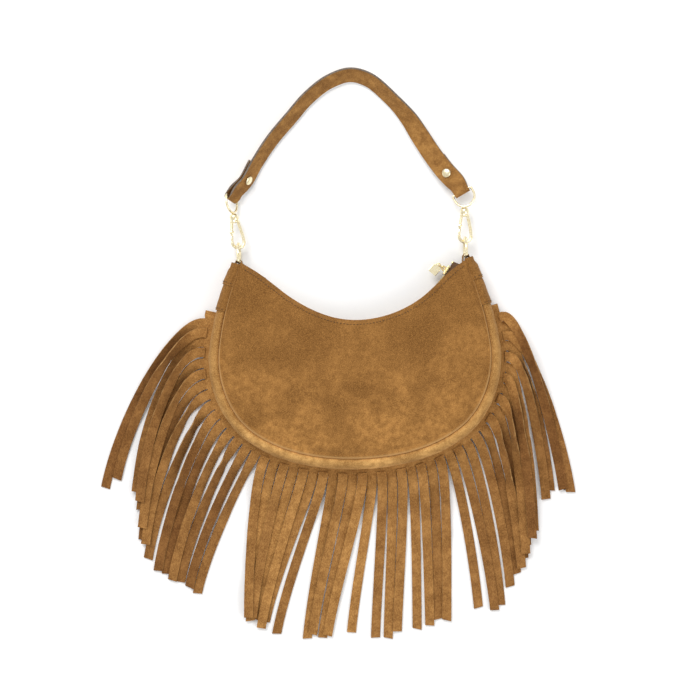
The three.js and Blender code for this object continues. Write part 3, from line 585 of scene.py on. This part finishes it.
draw = random.Random(7)
bm = bmesh.new()
tone_and_shade = bm.verts.layers.float.new("tone_and_shade")
laid(bm, 200, 3, (0.47, 0.008), lambda u, v: seam_point(
    HEADER_START + (1 - 2 * HEADER_START) * u,
    6 * MM + (HEADER_OUT - 6 * MM + 4 * MM * (1 - smoothstep(u, 0.012, 0.022))) * v
) + Vector((0, 0, (8.6 - 1.6 * v * v) * MM)))
fringe_area = 0.47 * 0.008
order = sorted(range(len(ribbons)), key=lambda i: (i % 2 == 1, abs(i - 22)))
for index in order:
    stations, length = ribbon_stations(index)
    settle(stations)
    fringe_area += length * RIBBON_WIDTH
    # A random tone for each ribbon, with painted shade added on the side ribbons, which turn from the light;
    # it fades in from the root, so the roots stay light.
    shade = draw.uniform(0.0, 0.35) + (0.0 if LEFT_COUNT <= index < LEFT_COUNT + BOTTOM_COUNT else 0.3)
    cut = draw.uniform(-0.25, 0.25)

    def ribbon_point(u, v, stations=stations, cut=cut):
        i = min(int(v * 80), 79)
        (p0, a0, r0, z0), (p1, a1, r1, z1) = stations[i], stations[i + 1]
        f = v * 80 - i
        side = (u - 0.5) * RIBBON_WIDTH * (1 - 0.05 * v)
        across, roll = a0.lerp(a1, f).normalized(), r0 + (r1 - r0) * f
        place = p0.lerp(p1, f) + across * (side * math.cos(roll))
        place += Vector((across.y, -across.x, 0)) * (side * cut * smoothstep(v, 0.96, 1))
        return place + Vector((0, 0, z0 + (z1 - z0) * f + side * math.sin(roll)))
    made = laid(bm, 4, 80, (RIBBON_WIDTH, length), ribbon_point)
    root = seam_point(FIRST_RIBBON + RIBBON_PITCH * index, HEADER_OUT)
    for vertex in made:
        vertex[tone_and_shade] = shade * smoothstep((vertex.co - root).length, 8 * MM, 45 * MM)
fringe_suede = suede(
    "fringe_suede", "BC884C", "7C5225", low=0.18, high=0.8, patch=55.0, streak=(1, 0.45, 1), shaded=True
)
fringe = shown("fringe_ribbons", bm, [fringe_suede, edge_suede])
thicken(fringe, FRINGE_THICK, edge=0.2 * MM, segments=1)
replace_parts(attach(fringe, "bag"), "fringe")

# Plated metal: a pale gold flash over a cast alloy, polished, with a faint ripple left by the tumbling.


def gold(name, colour, rough):
    made, tree, shader = finish_of(name, rough, 1.0)
    place = add_node(tree, "ShaderNodeTexCoord").outputs["Object"]
    ripple = noise_of(tree, place, 420.0, 2.0)
    shade = blend_of(tree, curve_of(tree, ripple, 0.3, 0.7), linear(colour), linear("F3E3B6"))
    tree.links.new(shade, shader.inputs["Base Color"])
    wear_and_highlight = curve_of(tree, noise_of(tree, place, 900.0, 3.0), 0.35, 0.75, rough, rough + 0.06)
    tree.links.new(wear_and_highlight, shader.inputs["Roughness"])
    bump = add_node(tree, "ShaderNodeBump", Strength=0.02, Distance=0.00005)
    tree.links.new(ripple, bump.inputs["Height"])
    tree.links.new(bump.outputs[0], shader.inputs["Normal"])
    return made


plate = gold("pale_gold_plate", "FBF1D2", 0.26)
zip_gold = gold("zip_gold", "EBCF8B", 0.24)


def wire_mesh(bm, points, radius, closed=False, resolution=6, matrix=None):
    """Round wire along the points, added to the mesh"""
    curve = bpy.data.curves.new("wire", "CURVE")
    curve.dimensions = "3D"
    curve.bevel_depth = radius
    curve.bevel_resolution = resolution
    curve.use_fill_caps = True
    spline = curve.splines.new("POLY")
    spline.points.add(len(points) - 1)
    for point, co in zip(spline.points, points):
        point.co = (*co, 1)
    spline.use_cyclic_u = closed
    holder = bpy.data.objects.new("wire", curve)
    mesh = bpy.data.meshes.new_from_object(holder)
    if matrix:
        mesh.transform(matrix)
    bm.from_mesh(mesh)
    bpy.data.objects.remove(holder)
    bpy.data.curves.remove(curve)
    bpy.data.meshes.remove(mesh)


def absorb(bm, part, matrix):
    bmesh.ops.remove_doubles(part, verts=part.verts, dist=1e-7)
    bmesh.ops.recalc_face_normals(part, faces=part.faces)
    mesh = bpy.data.meshes.new("part")
    part.to_mesh(mesh)
    part.free()
    mesh.transform(matrix)
    bm.from_mesh(mesh)
    bpy.data.meshes.remove(mesh)


def turned(bm, profile, matrix, steps=40):
    """A round piece turned about its own Y axis from (radius, height) points"""
    part = bmesh.new()
    verts = [part.verts.new((r, y, 0)) for r, y in profile]
    edges = [part.edges.new(pair) for pair in zip(verts, verts[1:])]
    bmesh.ops.spin(
        part, geom=verts + edges, cent=(0, 0, 0), axis=(0, 1, 0), angle=2 * math.pi, steps=steps,
        use_merge=True,
    )
    absorb(bm, part, matrix)


def plate_of(bm, points, thickness, matrix, hole=None, bevel=0.25 * MM):
    """A flat plate cut to an outline in its own XY plane, with softened edges"""
    part = bmesh.new()
    rim = [part.verts.new((x, y, -thickness / 2)) for x, y in points]
    edges = [part.edges.new(pair) for pair in zip(rim, rim[1:] + rim[:1])]
    if hole:
        under = Matrix.Translation((0, 0, -thickness / 2))
        inner = bmesh.ops.create_circle(part, radius=hole, segments=20, matrix=under)
        edges += list({e for v in inner["verts"] for e in v.link_edges})
    bmesh.ops.triangle_fill(part, use_beauty=True, use_dissolve=False, edges=edges)
    grown = bmesh.ops.extrude_face_region(part, geom=list(part.faces))["geom"]
    raised = [g for g in grown if isinstance(g, bmesh.types.BMVert)]
    bmesh.ops.translate(part, vec=(0, 0, thickness), verts=raised)
    bmesh.ops.recalc_face_normals(part, faces=part.faces)
    sharp = [e for e in part.edges if e.is_manifold and e.calc_face_angle(0) > 1.2]
    bmesh.ops.bevel(part, geom=sharp, offset=bevel, segments=2, profile=0.5, affect="EDGES", material=-1)
    absorb(bm, part, matrix)


def arc(radius, start, end, steps, centre=(0, 0)):
    found = []
    for i in range(steps + 1):
        a = math.radians(start + (end - start) * i / steps)
        found.append((centre[0] + radius * math.cos(a), centre[1] + radius * math.sin(a), 0))
    return found


# D-rings: plated wire bent to a D, standing on edge at each top corner with its bar in the tab.
for side, sign in (("left", -1), ("right", 1)):
    fillet = 2.5 * MM
    half = RING_RADIUS - fillet
    loop = arc(RING_RADIUS, 90, -90, 36)
    loop = [(0, RING_ARC_Y + x, RING_Z + y) for x, y, _ in loop]
    for start, end, up in ((0, -90, -1), (90, 0, 1)):
        for i in range(9):
            a = math.radians(start + (end - start) * i / 8)
            y, z = RING_BAR_Y + fillet - fillet * abs(math.sin(a)), half + fillet * math.cos(a)
            loop.append((0, y, RING_Z + up * z))
    bm = bmesh.new()
    wire_mesh(bm, [Vector(p) + Vector((sign * RING_X, 0, 0)) for p in loop], RING_WIRE, closed=True)
    ring = shown(side + "_d_ring_wire", bm, [plate])
    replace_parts(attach(ring, side + "_d_ring"), side + "_d_ring")

# Swivel hooks: a turned barrel, a cast hook below it with two arms that meet in a round bottom, and a
# sprung gate pinned between the arms. The eye above turns in the barrel.
HOOK_WIRE, HOOK_RADIUS, HOOK_DROP, BARREL = 1.5 * MM, 5.8 * MM, 18.7 * MM, 8.5 * MM
HINGE = Vector((-4.6 * MM, -8.6 * MM, 0))
GATE_LEAN = -7      # degrees that the closed gate leans with its arm
HOOK_TO_RING = HOOK_DROP + HOOK_RADIUS - HOOK_WIRE - 1 * MM - RING_WIRE
EYE_WIRE, EYE_RADIUS, EYE_BAR = 1.1 * MM, 10 * MM, 5 * MM
EYE_CENTRE = BARREL + 0.3 * MM + EYE_WIRE + EYE_RADIUS
ALONG_Z = Matrix.Rotation(math.radians(90), 4, "X")


def smooth_path(points, count):
    return smooth_line([(*p, 0) if len(p) == 2 else p for p in points], count)[0]


strap_ends = {}
for side, sign, lean, body_roll, eye_roll, tilt in (
    ("left", -1, 8, 15, 65, -20), ("right", 1, 0, 0, -12, 28)
):
    hang = Matrix.Translation((sign * RING_X, RING_ARC_Y + RING_RADIUS, RING_Z))
    hang = hang @ Matrix.Rotation(math.radians(lean), 4, "Z") @ Matrix.Translation((0, HOOK_TO_RING, 0))
    body = hang @ Matrix.Rotation(math.radians(body_roll), 4, "Y")
    eye = hang @ Matrix.Rotation(math.radians(eye_roll), 4, "Y")

    bm = bmesh.new()
    barrel = [
        (0, 0.2 * MM), (3.2 * MM, 0), (4.0 * MM, 0.3 * MM), (4.2 * MM, 1.0 * MM), (4.2 * MM, 1.6 * MM),
        (3.8 * MM, 2.0 * MM), (3.8 * MM, 2.5 * MM), (4.2 * MM, 2.9 * MM), (4.2 * MM, 6.4 * MM),
        (3.9 * MM, 7.2 * MM), (3.4 * MM, 7.5 * MM), (3.2 * MM, 8.1 * MM), (2.6 * MM, BARREL),
        (1.3 * MM, BARREL), (1.3 * MM, 7 * MM), (0, 7 * MM),
    ]
    turned(bm, barrel, body)
    right = [(3.0 * MM, 1.6 * MM), (3.3 * MM, -1 * MM), (4.5 * MM, -7.5 * MM), (5.5 * MM, -14 * MM)]
    right += [p[:2] for p in arc(HOOK_RADIUS, 0, -165, 10, (0, -HOOK_DROP))]
    right += [(-5.78 * MM, -17.5 * MM)]
    wire_mesh(bm, smooth_path(right, 60), HOOK_WIRE, matrix=body)
    left = [(-3.0 * MM, 1.6 * MM), (-3.3 * MM, -1 * MM), (-3.9 * MM, -4.5 * MM)]
    left += [(HINGE.x, HINGE.y + 1.6 * MM)]
    wire_mesh(bm, smooth_path(left, 16), HOOK_WIRE * 0.96, matrix=body)
    for z in (-1.25, 1.25):
        cheek = Matrix.Translation(HINGE + Vector((0, 0, z * MM)))
        turned(bm, [(0, -0.4 * MM), (1.6 * MM, -0.4 * MM), (1.9 * MM, -0.1 * MM), (1.9 * MM, 0.1 * MM),
                    (1.6 * MM, 0.4 * MM), (0, 0.4 * MM)], body @ cheek @ ALONG_Z, 24)
    hook = shown(side + "_hook_cast", bm, [plate])
    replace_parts(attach(hook, side + "_hook"), side + "_hook")

    bm = bmesh.new()
    pin = [(0, -1.75 * MM), (0.35 * MM, -1.75 * MM), (0.5 * MM, -1.6 * MM), (0.5 * MM, 1.6 * MM),
           (0.35 * MM, 1.75 * MM),
           (0, 1.75 * MM)]
    turned(bm, pin, body @ Matrix.Translation(HINGE) @ ALONG_Z, 16)
    pin = shown(side + "_gate_pin_turned", bm, [plate])
    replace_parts(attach(pin, side + "_hook"), side + "_gate_pin")

    bm = bmesh.new()
    knuckle = [(-1.15, 0.7), (-0.7, 1.2), (0.7, 1.2), (1.15, 0.7), (1.15, -3.4), (-1.15, -3.4)]
    blade = [(-1.15, -3.2), (1.15, -3.2), (1.15, -8.0), (0.6, -8.6), (-0.6, -8.6), (-1.15, -8.0)]
    swing = body @ Matrix.Translation(HINGE) @ Matrix.Rotation(math.radians(GATE_LEAN), 4, "Z")
    plate_of(bm, [(x * MM, y * MM) for x, y in knuckle], 1.3 * MM, swing, bevel=0.15 * MM)
    plate_of(bm, [(x * MM, y * MM) for x, y in blade], 2.6 * MM, swing, bevel=0.45 * MM)
    gate = shown(side + "_gate_sprung", bm, [plate])
    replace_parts(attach(gate, side + "_gate"), side + "_hook_gate")

    bm = bmesh.new()
    fillet = 2 * MM
    half = EYE_RADIUS - fillet
    loop = arc(EYE_RADIUS, 180, 360, 36)
    loop += arc(fillet, 0, 90, 6, (half, EYE_BAR - fillet))
    loop += arc(fillet, 90, 180, 6, (-half, EYE_BAR - fillet))
    seat = eye @ Matrix.Translation((0, EYE_CENTRE, 0))
    leaning = seat @ Matrix.Rotation(math.radians(tilt), 4, "Z")
    wire_mesh(bm, loop, EYE_WIRE, closed=True, matrix=leaning)
    post = [(0, 3.4 * MM), (1.8 * MM, 3.4 * MM), (1.8 * MM, 4.6 * MM), (1 * MM, 4.7 * MM), (1 * MM, BARREL),
            (1.25 * MM, BARREL + 0.5 * MM), (1.2 * MM, BARREL + 1.3 * MM), (0, BARREL + 1.6 * MM)]
    turned(bm, post, eye, 20)
    loop_piece = shown(side + "_strap_eye_wire", bm, [plate])
    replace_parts(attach(loop_piece, side + "_strap_eye"), side + "_strap_eye")
    centre = leaning @ Vector((0, EYE_BAR, 0))
    strap_ends[side] = (centre, ((leaning @ Vector((1 * MM, EYE_BAR, 0))) - centre).normalized())

# Strap: one length of doubled suede with painted edges. Each end folds round
# the bar of an eye and is riveted back on itself; the strap stands half on edge as it lies.
STRAP_WIDTH, STRAP_END_WIDTH, STRAP_THICK, FOLD_RADIUS = 18.5 * MM, 15.2 * MM, 2.8 * MM, 3 * MM
LAYER = STRAP_THICK / 2 + 0.15 * MM
TAIL, RIVET_AT = 40 * MM, 23 * MM
TURNS = [(0, 63), (0.3, 58), (0.66, 55), (0.82, 24), (1, 14)]


def lead(end, towards, length):
    centre, across = end
    way = towards - centre
    return centre + (way - across * way.dot(across)).normalized() * length


left_run, right_run = Vector((-0.101, 0.180, 0.0106)), Vector((0.091, 0.186, 0.0092))
strap_left, strap_right = strap_ends["left"], strap_ends["right"]
middle = [
    (-90.5, 198, 9.6), (-75.5, 219.5, 9.3), (-56.5, 241, 9.3), (-39.5, 259.5, 9.3), (-19, 274.5, 9.3),
    (2.5, 281, 9.3),
    (21, 275.5, 9.3), (41.5, 257.5, 9.2), (58, 238, 8.6), (69.5, 219, 7.4), (80, 202, 7.4),
]
run_points = [strap_left[0], lead(strap_left, left_run, 3 * MM), lead(strap_left, left_run, 8 * MM), left_run]
run_points += [Vector(p) * MM for p in middle]
run_points += [right_run, lead(strap_right, right_run, 8 * MM), lead(strap_right, right_run, 3 * MM)]
run_points += [strap_right[0]]
run, run_length = smooth_line(run_points, 400)


def strap_frame(distance):
    u = min(max(distance / run_length, 0), 1)
    place, way = along_line(run, u)
    outward = Vector((-way.y, way.x, 0)).normalized()
    roll = math.radians(turn_at(TURNS, u))
    across = outward * math.cos(roll) + Vector((0, 0, math.sin(roll)))
    near_left = 1 - smoothstep(distance, 0, 18 * MM)
    near_right = smoothstep(distance, run_length - 18 * MM, run_length)
    across = across.lerp(-strap_left[1], near_left).lerp(strap_right[1], near_right)
    across = (across - way * across.dot(way)).normalized()
    face = -way.cross(across).normalized()
    if face.z < 0:
        face = -face
    return place, way, across, face


def layer_offset(from_end):
    return LAYER + (FOLD_RADIUS - LAYER) * (1 - smoothstep(from_end, 0, 14 * MM))


stations = []


def station(distance, offset, shift=0.0, rise=1.0):
    place, way, across, face = strap_frame(distance)
    from_end = min(distance, run_length - distance)
    half = (STRAP_END_WIDTH + (STRAP_WIDTH - STRAP_END_WIDTH) * smoothstep(from_end, 0, 14 * MM)) / 2
    stations.append((place + face * offset + way * shift, across, half))


def spaced(start, end, count):
    return [start + (end - start) * i / count for i in range(count + 1)]


for d in spaced(TAIL, 1 * MM, 22):
    station(d, -layer_offset(d))
for angle in range(-90, 91, 15):
    a = math.radians(angle)
    station(0, FOLD_RADIUS * math.sin(a), -FOLD_RADIUS * math.cos(a))
for d in spaced(1 * MM, run_length - 1 * MM, 150):
    station(d, layer_offset(min(d, run_length - d)))
for angle in range(90, -91, -15):
    a = math.radians(angle)
    station(run_length, FOLD_RADIUS * math.sin(a), FOLD_RADIUS * math.cos(a))
for d in spaced(1 * MM, TAIL, 22):
    station(run_length - d, -layer_offset(d))
strap_length = sum((b[0] - a[0]).length for a, b in zip(stations, stations[1:]))


def strap_point(u, v):
    x = v * (len(stations) - 1)
    i = min(int(x), len(stations) - 2)
    (p0, a0, h0), (p1, a1, h1) = stations[i], stations[i + 1]
    f = x - i
    return p0.lerp(p1, f) + a0.lerp(a1, f) * ((h0 + (h1 - h0) * f) * (2 * u - 1))


strap_suede = suede("strap_suede", "AC7C42", "6A441E", low=0.2, high=0.78, patch=75.0)
paint, tree, shader = finish_of("strap_edge_paint", 0.6)
place = add_node(tree, "ShaderNodeTexCoord").outputs["Object"]
rub_and_highlight = curve_of(tree, noise_of(tree, place, 500.0, 4.0), 0.35, 0.7)
tree.links.new(blend_of(tree, rub_and_highlight, linear("4F443A"), linear("75685A")), shader.inputs["Base Color"])
bm = bmesh.new()
laid(bm, 8, len(stations) - 1, (STRAP_WIDTH, strap_length), strap_point)
strap = shown("strap_doubled", bm, [strap_suede, paint])
thicken(strap, STRAP_THICK, edge=0.22 * MM)
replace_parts(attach(strap, "strap"), "strap")

# Rivets: a domed gold cap on each face of the folded strap, joined by a post.
CAP_START = LAYER + STRAP_THICK / 2 + 0.45 * MM
cap_profile = [
    (0, 1.5), (1.6, 1.42), (3.0, 1.1), (4.0, 0.62), (4.4, 0.25), (4.35, 0.0), (4.0, -0.1), (0, -0.1),
]
for side, at in (("left", RIVET_AT), ("right", run_length - RIVET_AT)):
    place, way, across, face = strap_frame(at)
    third = across.cross(face)
    seat = Matrix.Translation(place) @ Matrix((across, face, third)).transposed().to_4x4()
    for name, flip, post in (("_rivet", 1, True), ("_rivet_back_cap", -1, False)):
        bm = bmesh.new()
        turn = seat @ Matrix.Rotation(0 if flip > 0 else math.pi, 4, "X")
        turn = turn @ Matrix.Translation((0, CAP_START, 0))
        turned(bm, [(r * MM, y * MM) for r, y in cap_profile], turn)
        if post:
            turned(bm, [(0, 0), (1.5 * MM, 0), (1.5 * MM, -2 * CAP_START), (0, -2 * CAP_START)], turn, 20)
        cap = shown(side + name + "_domed", bm, [plate])
        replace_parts(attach(cap, "strap"), side + name)

# Zip: two woven tapes standing between the panels, cast gold teeth gripping their edges, a slider with
# a link and a plain puller, and a stop at each end. Past the slider the two rows of teeth lie apart.
ZIP_RADIUS, ZIP_LEFT, ZIP_RIGHT, SLIDER_ANGLE = 108.2 * MM, -54, 60.5, 55

tape_cloth, tree, shader = finish_of("zip_tape_cloth", 0.9)
place = add_node(tree, "ShaderNodeTexCoord").outputs["UV"]
weave = add_node(tree, "ShaderNodeTexWave", Scale=520.0, Distortion=0.6, Detail=2.0)
tree.links.new(place, weave.inputs["Vector"])
cloth_tone = blend_of(tree, weave.outputs["Fac"], linear("3F2A18"), linear("6B4A2C"))
tree.links.new(cloth_tone, shader.inputs["Base Color"])
bump = add_node(tree, "ShaderNodeBump", Strength=0.5, Distance=0.0002)
tree.links.new(weave.outputs["Fac"], bump.inputs["Height"])
tree.links.new(bump.outputs[0], shader.inputs["Normal"])


edge_places = [p - MOUTH_CENTRE for p in mouth]
edge_angles = [(math.degrees(math.atan2(p.x, -p.y)), p.length) for p in edge_places]


def edge_radius(angle):
    """How far the mouth's edge lies from the centre of the zip's arc, at an angle"""
    return min(edge_angles, key=lambda pair: abs(pair[0] - angle))[1]


def parted(angle):
    """How far the two rows of teeth stand apart beyond the slider"""
    return 0.9 * MM * smoothstep(angle, SLIDER_ANGLE + 1, SLIDER_ANGLE + 3.5)


for name, sign in (("front", 1), ("back", -1)):
    def tape_point(u, v, sign=sign):
        angle = ZIP_LEFT + (ZIP_RIGHT - ZIP_LEFT) * u
        near = RING_Z + sign * (3.3 * MM + parted(angle))
        share = 0.5 - min(angle, -ZIP_LEFT) / ZIP_LEFT * 0.45
        far = mouth_height(share) - SUEDE - 0.6 * MM if sign > 0 else 2.1 * MM
        sway = 0.5 * MM * math.sin(math.pi * v) * math.sin(angle * 0.35)
        lean = max(0, edge_radius(angle) + 1.5 * MM - ZIP_RADIUS) * v if sign > 0 else 0
        return mouth_point(angle, ZIP_RADIUS + sway + lean, near + (far - near) * v)
    bm = bmesh.new()
    laid(bm, 126, 8, (0.216, 0.014), tape_point)
    tape = shown("zip_tape_" + name + "_woven", bm, [tape_cloth, tape_cloth])
    thicken(tape, 0.8 * MM, edge=0.15 * MM, segments=1)
    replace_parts(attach(tape, "bag"), "zip_tape_" + name)

    bm = bmesh.new()
    count = 68
    for i in range(count):
        angle = -51 + 108.5 * (i + 0.5) / count + (0.4 if sign > 0 else -0.4)
        spread = parted(angle)
        low_z = RING_Z + sign * (0.9 * MM + spread)
        tooth = mouth_point(angle, ZIP_RADIUS, low_z + sign * 1.1 * MM)
        turn = Matrix.Translation(tooth) @ Matrix.Rotation(math.radians(angle), 4, "Z")
        part = bmesh.new()
        bmesh.ops.create_cube(part, size=1, matrix=Matrix.Diagonal((1.5 * MM, 2.8 * MM, 2.2 * MM, 1)))
        tip = [v for v in part.verts if v.co.z * sign < 0]
        bmesh.ops.scale(part, vec=(0.72, 0.8, 1), verts=tip)
        bmesh.ops.bevel(
            part, geom=part.edges[:], offset=0.22 * MM, segments=1, profile=0.5, affect="EDGES", material=-1
        )
        absorb(bm, part, turn)
    cord = [mouth_point(a, ZIP_RADIUS, RING_Z + sign * (2.6 * MM + parted(a))) for a in range(-51, 59, 3)]
    wire_mesh(bm, cord, 0.55 * MM, resolution=2)
    teeth = shown("zip_teeth_" + name + "_cast", bm, [zip_gold], smooth=False)
    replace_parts(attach(teeth, "bag"), "zip_teeth_" + name)

for side, sign in (("left", -1), ("right", 1)):
    bm = bmesh.new()
    angle = ZIP_LEFT + 0.5 if sign < 0 else ZIP_RIGHT - 0.5
    stop_radius = ZIP_RADIUS + (1.6 * MM if sign < 0 else 0)
    turn = Matrix.Translation(mouth_point(angle, stop_radius, RING_Z))
    turn = turn @ Matrix.Rotation(math.radians(angle), 4, "Z")
    turn = turn @ Matrix.Rotation(math.radians(90), 4, "X")
    plate_of(bm, [(-1.2 * MM, -2.6 * MM), (1.2 * MM, -2.6 * MM), (1.2 * MM, 2.6 * MM), (-1.2 * MM, 2.6 * MM)],
             2.8 * MM, turn, bevel=0.5 * MM)
    stop = shown(side + "_zip_stop_pressed", bm, [zip_gold])
    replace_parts(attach(stop, "bag"), side + "_zip_stop")

seat = Matrix.Translation(mouth_point(SLIDER_ANGLE, ZIP_RADIUS, RING_Z))
seat = seat @ Matrix.Rotation(math.radians(SLIDER_ANGLE), 4, "Z")
flat_side = Matrix.Rotation(math.radians(-90), 4, "X")
bm = bmesh.new()
wing = [(-5, -3.6), (-4.2, -5.0), (-1, -4.6), (3, -5.2), (4.6, -5.0), (5, -4.2),
        (5, 4.2), (4.6, 5.0), (3, 5.2), (-1, 4.6), (-4.2, 5.0), (-5, 3.6)]
wing = [(x * MM, y * MM) for x, y in wing]
for y in (-2.55, 2.55):
    plate_of(bm, wing, 1.1 * MM, seat @ Matrix.Translation((0, y * MM, 0)) @ flat_side)
for y in (-1.65, 1.65):
    for z in (-4.75, 4.75):
        rail = [
            (-4.6 * MM, -0.75 * MM), (4.6 * MM, -0.75 * MM), (4.6 * MM, 0.75 * MM), (-4.6 * MM, 0.75 * MM),
        ]
        plate_of(bm, rail, 0.9 * MM, seat @ Matrix.Translation((0, y * MM, z * MM)), bevel=0.2 * MM)
mouth_plate = [(3 * MM, -2.4 * MM), (4.6 * MM, -2.4 * MM), (4.6 * MM, 2.4 * MM), (3 * MM, 2.4 * MM)]
plate_of(bm, mouth_plate, 0.9 * MM, seat)
bail = [(2.6 * MM, -2.9 * MM), (2.6 * MM, 0)] + [p[:2] for p in arc(2.6 * MM, 0, 180, 14)][1:]
bail += [(-2.6 * MM, -2.9 * MM)]
plate_of(bm, bail, 2.6 * MM, seat @ Matrix.Translation((0, 5.2 * MM, 0)), hole=1.2 * MM, bevel=0.35 * MM)
slider = shown("zip_slider_cast", bm, [zip_gold], smooth=False)
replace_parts(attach(slider, "zip_slider"), "zip_slider")

bm = bmesh.new()
link = []
for x, y, start in ((2.2, 4.4, 0), (-2.2, 4.4, 90), (-2.2, 1, 180), (2.2, 1, 270)):
    for i in range(7):
        a = math.radians(start + 15 * i)
        link.append((0, (5.2 + y + math.sin(a)) * MM, (x + math.cos(a)) * MM))
wire_mesh(bm, link, 0.6 * MM, closed=True, resolution=4, matrix=seat)
link = shown("zip_pull_link_wire", bm, [zip_gold])
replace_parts(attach(link, "zip_pull_link"), "zip_pull_link")

bm = bmesh.new()
swing = seat @ Matrix.Translation((0, 10.6 * MM, 0)) @ Matrix.Rotation(math.radians(82), 4, "Z")
pull = arc(0.8 * MM, 0, 90, 4, (3.7 * MM, 9.5 * MM)) + arc(0.8 * MM, 90, 180, 4, (-3.7 * MM, 9.5 * MM))
pull = [p[:2] for p in pull]
pull += [(-4.5 * MM, 3.5 * MM), (-1.4 * MM, -2.2 * MM), (1.4 * MM, -2.2 * MM), (4.5 * MM, 3.5 * MM)]
plate_of(bm, pull, 1.6 * MM, swing, hole=1.1 * MM, bevel=0.35 * MM)
puller = shown("zip_puller_cast", bm, [plate], smooth=False)
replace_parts(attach(puller, "zip_puller"), "zip_puller")

# Table, light and camera.
bpy.ops.mesh.primitive_plane_add(size=8)
table = bpy.context.object
table.name = "table"
ground, tree, shader = finish_of("table_paper", 0.9)
shader.inputs["Base Color"].default_value = (0.93, 0.93, 0.93, 1)
table.data.materials.append(ground)
table.location.z = -0.0002

scene = bpy.context.scene
scene.view_settings.view_transform = "Standard"
world = scene.world or bpy.data.worlds.new("World")
scene.world = world
world.use_nodes = True
world.node_tree.nodes["Background"].inputs["Color"].default_value = (1, 1, 1, 1)
world.node_tree.nodes["Background"].inputs["Strength"].default_value = 0.75


def soft_light(name, place, size, power):
    data = bpy.data.lights.new(name, "AREA")
    data.size, data.energy = size, power
    lamp = bpy.data.objects.new(name, data)
    lamp.location = place
    lamp.rotation_euler = (-Vector(place)).to_track_quat("-Z", "Y").to_euler()
    scene.collection.objects.link(lamp)


soft_light("softbox_high", (-0.5, 1.0, 1.5), 0.9, 20)
soft_light("softbox_side", (1.1, -0.6, 1.2), 0.9, 6)

view = bpy.data.cameras.new("view")
view.lens = 79.5
view.clip_start = 0.05
camera = bpy.data.objects.new("view", view)
camera.location = (-0.0045, 0.0147, 1.5)
camera.rotation_euler = (0, 0, math.radians(-1.5))
scene.collection.objects.link(camera)
scene.camera = camera
